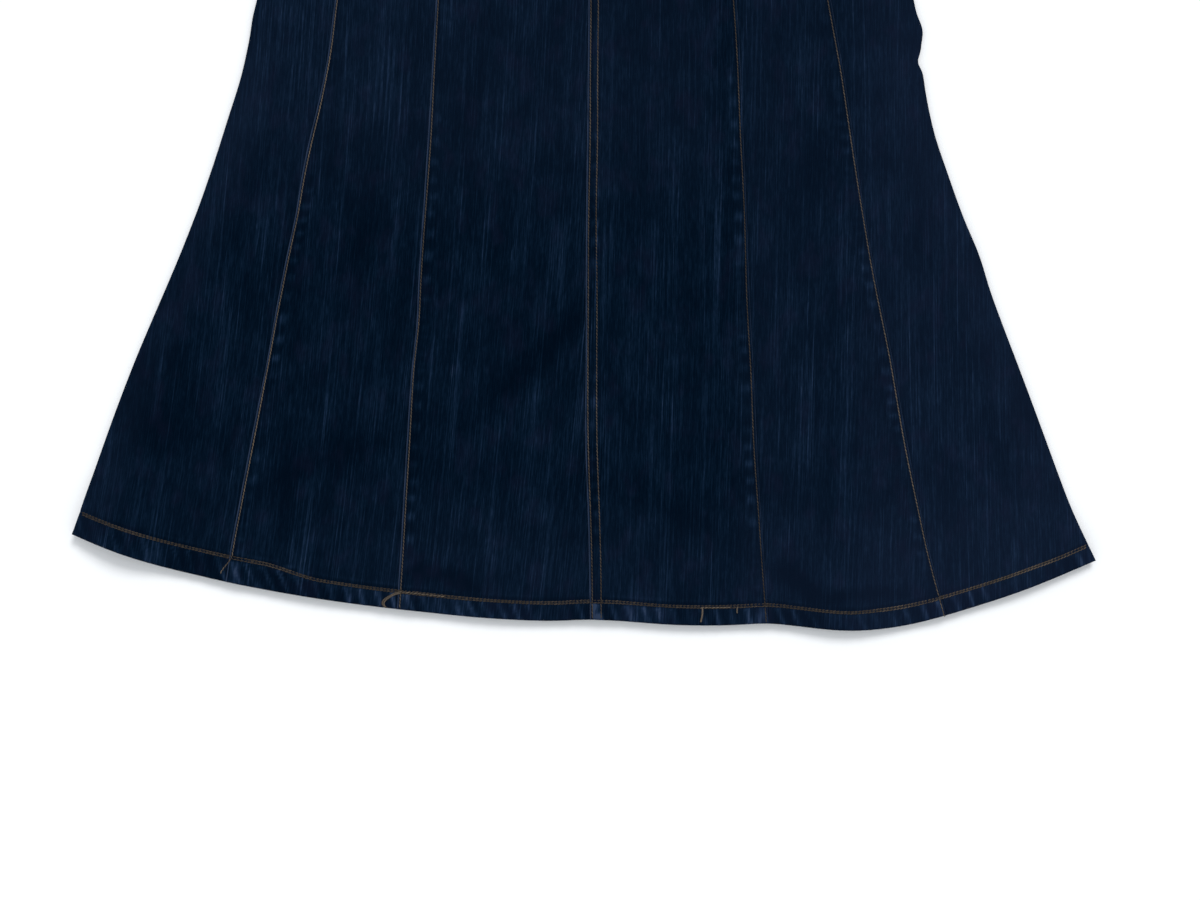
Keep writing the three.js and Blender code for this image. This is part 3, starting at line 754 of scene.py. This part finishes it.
def brass_finish(name, base, scratches):
    """Antique brass: darker in cloudy patches, with fine scratches."""
    f = Finish(name)
    place = f.node("ShaderNodeTexCoord", {}, {}, output="Object")
    clouds = f.node("ShaderNodeTexNoise", {}, {"Vector": place, "Scale": 420.0, "Detail": 3.0})
    marks = f.node("ShaderNodeTexNoise", {}, {"Vector": place, "Scale": scratches, "Detail": 5.0})
    dark = tuple(channel * 0.35 for channel in base)
    colour = f.mix(clouds.slope(0.35, 0.65) * 0.6, (*base, 1), (*dark, 1))
    bump = f.node("ShaderNodeBump", {}, {"Strength": 0.25, "Distance": 0.0001, "Height": marks})
    return f.done(Base_Color=colour, Metallic=1.0, Roughness=marks.slope(0.3, 0.7) * 0.22 + 0.3, Normal=bump)


brass = brass_finish("brass", (0.30, 0.175, 0.075), 2600.0)


def clear():
    """Nothing is selected or active."""
    bpy.ops.object.select_all(action="DESELECT")


def disc(radius, low, high, sides=64):
    """A round plate at the button's place."""
    clear()
    bpy.ops.mesh.primitive_cylinder_add(
        vertices=sides, radius=radius, depth=high - low, location=(BUTTON.x, BUTTON.y, (low + high) / 2)
    )
    bpy.ops.object.transform_apply(location=True, rotation=True, scale=True)
    return bpy.context.object


def sink_top(piece, steps):
    """Shapes the top face by insets, each with its width and how far the inner face then rises."""
    bpy.ops.object.mode_set(mode="EDIT")
    bpy.ops.mesh.select_mode(type="FACE")
    bpy.ops.mesh.select_all(action="DESELECT")
    bpy.ops.object.mode_set(mode="OBJECT")
    max(piece.data.polygons, key=lambda face: face.center.z * (face.normal.z > 0.9)).select = True
    bpy.ops.object.mode_set(mode="EDIT")
    for inward, rise in steps:
        bpy.ops.mesh.inset(thickness=inward)
        bpy.ops.transform.translate(value=(0, 0, rise))
    bpy.ops.object.mode_set(mode="OBJECT")


def soften(piece, width, segments=3):
    """Rounds the sharp edges of a hard piece."""
    bevel = piece.modifiers.new("bevel", "BEVEL")
    bevel.width, bevel.segments, bevel.limit_method = width, segments, "ANGLE"
    bevel.angle_limit = math.radians(28)
    bpy.context.view_layer.objects.active = piece
    bpy.ops.object.modifier_apply(modifier="bevel")
    clear()
    piece.select_set(True)
    bpy.ops.object.shade_smooth_by_angle(angle=math.radians(32))


def join(name, pieces):
    """Makes one piece of several."""
    clear()
    for piece in pieces:
        piece.select_set(True)
    bpy.context.view_layer.objects.active = pieces[0]
    if len(pieces) > 1:
        bpy.ops.object.join()
    pieces[0].name = pieces[0].data.name = name
    return pieces[0]


# The head's rolled rim, the groove inside it, and the raised middle: each step's width and rise.
HEAD_STEPS = (
    (0.9 * MM, 0), (0.35 * MM, -0.75 * MM), (2.6 * MM, 0), (0.4 * MM, 0.4 * MM), (1.6 * MM, 0.28 * MM),
)
head = disc(HEAD_RADIUS, button_high.z - HEAD_THICK, button_high.z - 0.1 * MM)
sink_top(head, HEAD_STEPS)
soften(head, 0.28 * MM)
shank = disc(SHANK_RADIUS, button_low.z + TACK_THICK / 2, button_high.z - HEAD_THICK + 0.2 * MM, 32)
soften(shank, 0.2 * MM, 2)
tack = disc(TACK_RADIUS, button_low.z, button_low.z + TACK_THICK, 40)
soften(tack, 0.25 * MM, 2)
button = join("brass_waist_button", [head, shank, tack])
button.data.materials.clear()
button.data.materials.append(brass)
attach(button, "root")
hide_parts("waist_button")

# The holes: the right band's keyhole goes through it, and the tack is set through the underlap.
EYE_RADIUS = 3.6 * MM
SLIT = (16 * MM, 1.2 * MM)


def cut(piece, tool):
    """Cuts a hole with a closed tool, and removes the tool."""
    hole = piece.modifiers.new("hole", "BOOLEAN")
    hole.operation, hole.solver, hole.object = "DIFFERENCE", "EXACT", tool
    bpy.context.view_layer.objects.active = piece
    bpy.ops.object.modifier_apply(modifier="hole")
    bpy.data.objects.remove(tool)


right_band, right_panel = bands["waistband_front_right"]
left_band, left_panel = bands["waistband_front_left"]
lap_low = band_base(right_panel, BUTTON.x / MM) * MM
cut(right_band, disc(EYE_RADIUS, lap_low - MM, lap_low + 5 * MM, 40))
clear()
bpy.ops.mesh.primitive_cube_add(size=1, location=(BUTTON.x + SLIT[0] / 2, BUTTON.y, lap_low + 2 * MM))
slit_tool = bpy.context.object
slit_tool.scale = (SLIT[0], SLIT[1], 6 * MM)
bpy.ops.object.transform_apply(location=True, rotation=True, scale=True)
cut(right_band, slit_tool)
under_low = band_base(left_panel, BUTTON.x / MM) * MM
cut(left_band, disc(SHANK_RADIUS + 0.2 * MM, under_low + TACK_THICK, under_low + 4 * MM, 32))
cut(left_band, disc(TACK_RADIUS + 0.2 * MM, under_low - MM, under_low + TACK_THICK + 0.1 * MM, 40))

# ZIP
# A closed zip behind the fly: two woven tapes, each with a beaded edge that carries the teeth, and
# a brass slider with its pull hanging down.
tape_low, tape_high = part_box("zip_tape")
ZIP_X = (tape_low.x + tape_high.x) / 2
TAPE_LEVEL = (tape_low.z + tape_high.z) / 2
TAPE_THICK = 0.6 * MM
CHAIN_HALF = 2 * MM
TOOTH_PITCH = 1.5 * MM
slider_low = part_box("zip_slider")[0]


def tape_finish():
    """Navy polyester tape with a fine herringbone."""
    f = Finish("zip_tape")
    place = f.node("ShaderNodeTexCoord", {}, {}, output="Object")
    weave = f.node(
        "ShaderNodeTexWave", {"wave_type": "BANDS", "bands_direction": "DIAGONAL"},
        {"Vector": place, "Scale": 700.0}, output="Fac",
    )
    colour = f.mix(weave, (0.006, 0.010, 0.024, 1), (0.013, 0.019, 0.038, 1))
    bump = f.node("ShaderNodeBump", {}, {"Strength": 0.5, "Distance": 0.0001, "Height": weave})
    return f.done(Base_Color=colour, Roughness=0.85, Specular_IOR_Level=0.2, Normal=bump)


def bar(x, y, z, width, length, height, cuts=0):
    """A bevelled bar, with its long side along Y and cut across into shorter faces."""
    clear()
    bpy.ops.mesh.primitive_cube_add(size=1, location=(x, y, z))
    made = bpy.context.object
    made.scale = (width, length, height)
    bpy.ops.object.transform_apply(location=True, rotation=True, scale=True)
    if cuts:
        bpy.ops.object.mode_set(mode="EDIT")
        bpy.ops.mesh.select_mode(type="EDGE")
        bpy.ops.mesh.select_all(action="DESELECT")
        bpy.ops.object.mode_set(mode="OBJECT")
        points = made.data.vertices
        for edge in made.data.edges:
            a, b = (points[v].co for v in edge.vertices)
            edge.select = abs(a.y - b.y) > length / 2
        bpy.ops.object.mode_set(mode="EDIT")
        bpy.ops.mesh.subdivide(number_cuts=cuts)
        bpy.ops.object.mode_set(mode="OBJECT")
    return made


def tape_side(side):
    """One tape and the bead along its inner edge."""
    width = tape_high.x - ZIP_X - CHAIN_HALF * 0.7
    middle = ZIP_X + side * (tape_high.x - ZIP_X + CHAIN_HALF * 0.7) / 2
    length = tape_high.y - tape_low.y
    level = (tape_high.y + tape_low.y) / 2
    band = bar(middle, level, TAPE_LEVEL, width, length, TAPE_THICK, cuts=36)
    soften(band, 0.12 * MM, 2)
    bead_x = middle - side * (width / 2 - 0.3 * MM)
    bead = bar(bead_x, level, TAPE_LEVEL, 0.9 * MM, length - 0.4 * MM, 1.1 * MM)
    soften(bead, 0.3 * MM, 2)
    return [band, bead]


tapes = join("zip_tapes", tape_side(-1) + tape_side(1))
tapes.data.materials.clear()
tapes.data.materials.append(tape_finish())
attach(tapes, "root")
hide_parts("zip_tape")


def copies(name, template, places, turns, scales, tone=None):
    """Joins copies of a small mesh, each at its place in mm, turned about Z and scaled along itself."""
    mesh = template.data
    shape = np.array([v.co for v in mesh.vertices])
    faces = [tuple(face.vertices) for face in mesh.polygons]
    c, s = np.cos(turns)[:, None], np.sin(turns)[:, None]
    along = shape[None, :, 0] * scales[:, None]
    across = shape[None, :, 1]
    points = np.stack([
        along * c - across * s + places[:, :1] * MM,
        along * s + across * c + places[:, 1:2] * MM,
        shape[None, :, 2] + places[:, 2:3] * MM,
    ], axis=-1).reshape(-1, 3)
    count = len(shape)
    joined = bpy.data.meshes.new(name)
    copied = [tuple(v + k * count for v in face) for k in range(len(places)) for face in faces]
    joined.from_pydata(points.tolist(), [], copied)
    joined.shade_smooth()
    if tone is not None:
        values = np.repeat(tone, count).astype(np.float32)
        joined.attributes.new("tone", "FLOAT", "POINT").data.foreach_set("value", values)
    piece = bpy.data.objects.new(name, joined)
    bpy.context.scene.collection.objects.link(piece)
    return piece


tooth = bar(0, 0, 0, 2.6 * MM, 0.9 * MM, 1.35 * MM)
soften(tooth, 0.18 * MM, 1)
teeth_count = int((slider_low.y - tape_low.y - 2 * MM) / TOOTH_PITCH)
k = np.arange(teeth_count)
teeth_places = np.stack([
    ZIP_X / MM + np.where(k % 2 == 0, -0.75, 0.75),
    tape_low.y / MM + 1.5 + k * TOOTH_PITCH / MM,
    np.full(teeth_count, TAPE_LEVEL / MM),
], axis=1)
teeth = copies("zip_teeth", tooth, teeth_places, 0.0 * k, np.ones(teeth_count))
bpy.data.objects.remove(tooth)
teeth.data.materials.append(brass)
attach(teeth, "root")


def finer(node, name, width):
    """A hard CAD piece again, with its edges rounded."""
    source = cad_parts[node]
    made = bpy.data.objects.new(name, source.data.copy())
    bpy.context.scene.collection.objects.link(made)
    clear()
    made.select_set(True)
    bpy.context.view_layer.objects.active = made
    bpy.ops.object.mode_set(mode="EDIT")
    bpy.ops.mesh.select_all(action="SELECT")
    bpy.ops.mesh.remove_doubles(threshold=0.01 * MM)
    bpy.ops.mesh.dissolve_limited(angle_limit=math.radians(2))
    bpy.ops.object.mode_set(mode="OBJECT")
    soften(made, width, 2)
    made.data.materials.clear()
    made.data.materials.append(brass)
    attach(made, "root")
    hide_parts(node)


finer("zip_slider", "brass_zip_slider", 0.1 * MM)
finer("zip_pull", "brass_zip_pull", 0.15 * MM)

# TOPSTITCHING
# Thick copper thread in lockstitch: one row beside each seam's fold, two at centre front and along
# the hem, and one round each band. Every stitch is a short bead that dips into the cloth.
PITCH = 2.6
THREAD = 0.42  # the thread's radius
STITCH_HALF = 0.6 * PITCH
STITCH_FLAT = 0.72  # how high a stitch is for its width
STITCH_DIP = 0.16  # how far its two ends sink
HEM_GAUGE = 1.7  # between the hem's two rows


def thread_finish():
    """Copper polyester thread, paler where it has rubbed, with painted shade making it browner where it
    sinks in.
    """
    f = Finish("thread")
    place = f.node("ShaderNodeTexCoord", {}, {}, output="Object")
    fuzz = f.node("ShaderNodeTexNoise", {}, {"Vector": place, "Scale": 1900.0, "Detail": 2.0})
    tone = f.mark("tone") + fuzz.slope(0.3, 0.7) * 0.24 - 0.12
    colour = f.node(
        "ShaderNodeValToRGB",
        {"stops": [
            (0.0, (0.012, 0.009, 0.006)), (0.35, (0.034, 0.026, 0.019)),
            (0.7, (0.086, 0.068, 0.051)), (1.0, (0.168, 0.122, 0.073)),
        ]},
        [tone],
    )
    bump = f.node("ShaderNodeBump", {}, {"Strength": 0.4, "Distance": 0.0001, "Height": fuzz})
    return f.done(Base_Color=colour, Roughness=0.75, Specular_IOR_Level=0.2, Normal=bump)


thread = thread_finish()
clear()
bpy.ops.mesh.primitive_uv_sphere_add(segments=6, ring_count=5, radius=MM, rotation=(0, math.pi / 2, 0))
stitch = bpy.context.object
stitch.scale = (STITCH_FLAT * THREAD, THREAD, STITCH_HALF)
bpy.ops.object.transform_apply(location=True, rotation=True, scale=True)
for vertex in stitch.data.vertices:
    vertex.co.z -= STITCH_DIP * MM * (vertex.co.x / (STITCH_HALF * MM)) ** 2
STITCH_TWIST = math.radians(10)


def spaced(x, y, pitch):
    """Points along a line at even steps, and the line's direction at each."""
    steps = np.hypot(np.diff(x), np.diff(y))
    travelled = np.concatenate([[0], np.cumsum(steps)])
    count = max(int(travelled[-1] / pitch), 1)
    at = (np.arange(count) + 0.5) * travelled[-1] / count
    px, py = np.interp(at, travelled, x), np.interp(at, travelled, y)
    ahead_x, ahead_y = np.interp(at + 0.5, travelled, x), np.interp(at + 0.5, travelled, y)
    behind_x, behind_y = np.interp(at - 0.5, travelled, x), np.interp(at - 0.5, travelled, y)
    return px, py, np.arctan2(ahead_y - behind_y, ahead_x - behind_x)


class Stitching:
    """Rows of stitches that become one piece."""

    def __init__(self, name):
        self.name = name
        self.rows = []

    def row(self, x, y, level, tone, pitch=PITCH):
        """Adds a row along a line. The level is the stitches' height and the tone their paleness."""
        px, py, turn = spaced(np.asarray(x, float), np.asarray(y, float), pitch)
        jitter = np.sin(px * 1.7 + py * 2.3) * 0.5 + np.sin(px * 0.9 - py * 1.1) * 0.5
        z = level(px, py) if callable(level) else np.full(px.shape, level)
        shade = tone(px, py) if callable(tone) else np.full(px.shape, tone)
        self.rows.append(np.stack([px, py, z, turn + STITCH_TWIST + 0.06 * jitter, shade + 0.12 * jitter,
                                   np.full(px.shape, pitch / PITCH)], axis=1))

    def make(self, face_down=False):
        every = np.concatenate(self.rows)
        piece = copies(self.name, stitch, every[:, :3], every[:, 3], every[:, 5], np.clip(every[:, 4], 0, 1))
        if face_down:
            # the copies arch upwards, so on the outer face of the back they are turned over
            co = np.empty(len(piece.data.vertices) * 3)
            piece.data.vertices.foreach_get("co", co)
            co = co.reshape(-1, 3)
            centres = np.repeat(every[:, 2] * MM, len(stitch.data.vertices))
            co[:, 2] = 2 * centres - co[:, 2]
            piece.data.vertices.foreach_set("co", co.reshape(-1))
            piece.data.flip_normals()
        piece.data.materials.append(thread)
        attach(piece, "root")


def panel_at(panels, x, y):
    """For each place, which of six gores it lies on."""
    chosen = np.zeros(x.shape, int)
    for number, panel in enumerate(panels.values()):
        chosen = np.where(x >= panel.left(y), number, chosen)
    return chosen


def front_level(x, y):
    """The height of the front's upper face, whichever gore is there."""
    number = panel_at(front_panels, x, y)
    heights = [front_layers(panel, x, y)[0] for panel in front_panels.values()]
    return np.choose(number, heights) + 0.3 * THREAD


def seam_lines(panels):
    """Each folded seam as its gore, its line and the direction in from the fold."""
    for name, panel in panels.items():
        if panel.left_edge == "over":
            yield name, panel, panel.left, 1
        if panel.right_edge == "over":
            yield name, panel, panel.right, -1


def seam_tone(x, y):
    """The thread is palest on the left outer seam, and low down on the right one."""
    left = 0.22 * near(x, -150, 40)
    right = 0.17 * near(-x, -170, 30) * near(y, -60, 150) - 0.19 * near(abs(x - 118), 20, 20)
    return 0.44 + left + right + 0.08 * np.sin(y / 37)


def hem_tone(x, y):
    """Dull at the left and centre, and paler to the right."""
    return 0.27 + 0.22 * near(-x, -250, 60) + 0.12 * np.sin(x / 29) * np.sin(x / 11)


SEAM_FOOT, SEAM_HEAD = -290.0, 280.0  # the heights at which a seam's two ends are looked for
KICK = 7.0  # how far the left outer seam's stitches run out at their end, and how much sooner they stop
KICK_STOP = 5.0
front_seams, front_hem = Stitching("thread_front_seams"), Stitching("thread_front_hem")
for name, panel, line, inwards in seam_lines(front_panels):
    foot = float(panel.hem(line(SEAM_FOOT))) + 1.2
    head = float(panel.waist(line(SEAM_HEAD))) - 1.0
    kicks = name == "middle_gore_left"
    y = np.linspace(foot + KICK_STOP * kicks, head, 500)
    kick = KICK * kicks * near(y - foot, 3, 16)
    wander = 0.25 * np.sin(y / 41 + inwards) + 0.15 * np.sin(y / 17)
    front_seams.row(line(y) + inwards * (STITCH_IN + wander) - kick, y, front_level, seam_tone)
    if centre_seam(line):
        front_seams.row(line(y) + inwards * (second_row(y) + wander), y, front_level, seam_tone)
front_seams.make()

hem_ends = (float(side_left(-240.0)) + 1, float(side_right(-265.0)) - 1)
along_hem = np.linspace(*hem_ends, 900)


def hem_rows(stitching, panels, places, level, tone):
    """Rows along the hem of six gores, at distances from the hem's own stitching line."""
    x = along_hem
    line = 0 * x
    for panel in panels.values():
        reached = x >= panel.left(panel.hem(x))
        line = np.where(reached, panel.hem(x), line)
    for place in places:
        wander = 0.3 * np.sin(x / 53) + 0.15 * np.sin(x / 19 + place)
        stitching.row(x, line + hem_depth(x) + place + wander, level, tone)


hem_rows(front_hem, front_panels, (-HEM_GAUGE / 2, HEM_GAUGE / 2), front_level, hem_tone)
# The middle row sits a little lower, and its dark brown tone is painted shade on the sunk thread.
hem_rows(front_hem, front_panels, (0,), lambda x, y: front_level(x, y) - 0.2, 0.24)


def hem_line(x):
    """The height on the skirt of the hem's stitching."""
    x = np.asarray(x, float)
    number = panel_at(front_panels, x, 0 * x + HEM_ABOUT)
    return np.choose(number, [panel.hem(x) for panel in front_panels.values()]) + hem_depth(x)


# Two places where the hem's stitching starts again over itself, in newer-looking thread.
for start, end in ((-132, -101), (85, 107)):
    again = np.linspace(start, end, 60)
    front_hem.row(again, hem_line(again) - 0.3, lambda x, y: front_level(x, y) + 0.35, 0.7)
front_hem.make()

back_seams, back_hem = Stitching("thread_back_seams"), Stitching("thread_back_hem")
BACK_LEVEL = STITCH_FLAT * THREAD + 0.02
for name, panel, line, inwards in seam_lines(back_panels):
    foot = float(panel.hem(line(SEAM_FOOT))) + 1.2
    head = float(panel.waist(line(SEAM_HEAD))) - 1.0
    y = np.linspace(foot, head, 400)
    back_seams.row(line(y) + inwards * STITCH_IN, y, BACK_LEVEL, seam_tone)
    if centre_seam(line):
        back_seams.row(line(y) + inwards * (STITCH_IN + GAUGE), y, BACK_LEVEL, seam_tone)
back_seams.make(face_down=True)
hem_rows(back_hem, back_panels, (-HEM_GAUGE / 2, HEM_GAUGE / 2), BACK_LEVEL, hem_tone)
back_hem.make(face_down=True)

# The fly's curved stitching on the right centre gore, and the rows round the bands.
fly = Stitching("thread_fly_and_bands")
FLY_WIDTH = 34.0
FLY_CURVE = (150.0, 205.0)  # the foot of the curve, and where it becomes straight
TOP_TONE = 0.66  # the thread's paleness on the fly and the bands
for inset in (0, GAUGE):
    turn = np.linspace(0, math.pi / 2, 40)
    curve_x = (FLY_WIDTH - inset) * np.sin(turn) + STITCH_IN * np.cos(turn)
    curve_y = FLY_CURVE[0] + inset + (FLY_CURVE[1] - FLY_CURVE[0]) * (1 - np.cos(turn))
    straight = np.linspace(FLY_CURVE[1] + inset, 277, 30)
    fly_x = np.concatenate([curve_x, np.full(30, FLY_WIDTH - inset)])
    fly_y = np.concatenate([curve_y, straight])
    fly.row(fly_x + centre_front(fly_y), fly_y, front_level, TOP_TONE)


def band_rows(stitching, name):
    """A row along each long edge of a band, joined across its free end."""
    panel = bands[name][1]
    start, end = float(panel.left(305.0)) + 2, float(panel.right(305.0)) - 2
    x = np.linspace(start, end, 300)

    def level(px, py):
        return band_top(panel, px, py) + 0.3 * THREAD

    if name == "waistband_back":
        level = BACK_LEVEL
    stitching.row(x, panel.hem(x) + EDGE_STITCH, level, TOP_TONE)
    stitching.row(x, panel.waist(x) - EDGE_STITCH, level, TOP_TONE)
    if name == "waistband_front_right":
        y = np.linspace(float(panel.hem(start)) + 3, float(panel.waist(start)) - 3, 40)
        stitching.row(panel.left(y) + EDGE_STITCH, y, level, TOP_TONE)


band_rows(fly, "waistband_front_left")
band_rows(fly, "waistband_front_right")
fly.make()
back_band = Stitching("thread_back_band")
band_rows(back_band, "waistband_back")
back_band.make(face_down=True)

# The buttonhole's close stitches stand across its edge, all round the eye and the slit.
hole = Stitching("thread_buttonhole")
BUTTON_X, BUTTON_Y = BUTTON.x / MM, BUTTON.y / MM
EYE_STITCH, SLIT_STITCH = 4.3, 1.5  # from the middle of the eye and of the slit to their stitches
HOLE_REACH = 0.85  # half the length of a stitch


def hole_level(px, py):
    return band_top(right_panel, px, py) + 0.25 * THREAD


round_eye = np.radians(np.arange(24, 337, 9.5))
slit_x = np.arange(BUTTON_X + 4.3, BUTTON_X + 16.6, 0.75)
spots = [(BUTTON_X + EYE_STITCH * math.cos(a), BUTTON_Y + EYE_STITCH * math.sin(a), a) for a in round_eye]
spots += [(px, BUTTON_Y + side * SLIT_STITCH, math.pi / 2) for px in slit_x for side in (-1, 1)]
spots += [(BUTTON_X + 17.2, BUTTON_Y + step, 0.0) for step in (-1.2, -0.6, 0.0, 0.6, 1.2)]
for px, py, turn in spots:
    over, up = HOLE_REACH * math.cos(turn), HOLE_REACH * math.sin(turn)
    hole.row([px - over, px + over], [py - up, py + up], hole_level, 0.6, pitch=2 * HOLE_REACH)
hole.make()

# Thread ends left at the hem: a loose loop of two strands by the left seam and two cut tails. Each
# is a radius, a tone and places given as x and the height above the hem.
LOOSE_ENDS = (
    (0.6, 0.5, (-132, 13.2), (-136, 12.2), (-141, 9.2), (-145.2, 6.0), (-146.6, 3.8), (-146.0, 1.6),
     (-143.6, 0.6)),
    (0.55, 0.62, (-133, 12.0), (-137, 11.0), (-141.4, 8.0), (-144.8, 5.0), (-145.6, 2.6), (-144.2, 0.8)),
    (0.6, 0.74, (86.4, 12.8), (86.8, 10), (86.2, 6), (85.2, 2.6)),
    (0.5, 0.66, (112, 13.2), (111.4, 10.5), (111.8, 8.6)),
)
tails = []
for radius, tone, *route in LOOSE_ENDS:
    strand = bpy.data.curves.new("tail", "CURVE")
    strand.dimensions, strand.use_fill_caps = "3D", True
    strand.bevel_depth, strand.bevel_resolution = radius * MM, 2
    spline = strand.splines.new("NURBS")
    spline.points.add(len(route) - 1)
    spline.use_endpoint_u, spline.order_u = True, 4
    for point, (px, rise) in zip(spline.points, route):
        py = float(hem_line(px) - hem_depth(px)) + rise
        # below the hem's rope the strand stays at the rope's height, and doesn't follow the rim down
        level_y = max(py, float(hem_line(px)) - 11)
        on_cloth = float(front_level(np.array([px]), np.array([level_y]))[0]) + 0.3
        point.co = (px * MM, py * MM, on_cloth * MM, 1)
    tail = bpy.data.objects.new("tail", strand)
    bpy.context.scene.collection.objects.link(tail)
    clear()
    tail.select_set(True)
    bpy.context.view_layer.objects.active = tail
    bpy.ops.object.convert(target="MESH")
    paleness = tail.data.attributes.new("tone", "FLOAT", "POINT")
    paleness.data.foreach_set("value", [tone] * len(tail.data.vertices))
    tails.append(tail)
ends = join("thread_ends", tails)
ends.data.materials.clear()
ends.data.materials.append(thread)
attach(ends, "root")
bpy.data.objects.remove(stitch)

# FLOOR, LIGHT AND CAMERA
# A white sheet of paper under the skirt, a broad light from beyond the waist, and a camera that
# looks straight down.
clear()
bpy.ops.mesh.primitive_plane_add(size=14, location=(0, 0, -0.0002))
floor = bpy.context.object
floor.name = "floor"
bpy.ops.object.transform_apply(location=True)
paper = Finish("paper")
place = paper.node("ShaderNodeTexCoord", {}, {}, output="Object")
fibres = paper.node("ShaderNodeTexNoise", {}, {"Vector": place, "Scale": 900.0})
floor.data.materials.append(
    paper.done(Base_Color=paper.mix(fibres, (0.90, 0.905, 0.91, 1), (0.92, 0.925, 0.93, 1)), Roughness=0.8,
               Specular_IOR_Level=0.1)
)

scene = bpy.context.scene
scene.view_settings.view_transform = "Standard"
world = bpy.data.worlds.new("studio")
scene.world = world
world.use_nodes = True
world.node_tree.nodes["Background"].inputs["Color"].default_value = (0.93, 0.965, 1.0, 1)
world.node_tree.nodes["Background"].inputs["Strength"].default_value = 0.82
key = bpy.data.lights.new("key", "SUN")
key.energy = 1.68
key.angle = math.radians(24)
key_lamp = bpy.data.objects.new("key", key)
key_lamp.rotation_euler = (math.radians(-44), 0, math.radians(-18))
scene.collection.objects.link(key_lamp)

LENS = 80.0
VIEW_WIDTH = 0.876
camera = bpy.data.cameras.new("camera")
camera.lens = LENS
camera.clip_end = 50
camera_stand = bpy.data.objects.new("camera", camera)
camera_stand.location = (0.012, -0.197, VIEW_WIDTH * LENS / camera.sensor_width)
scene.collection.objects.link(camera_stand)
scene.camera = camera_stand
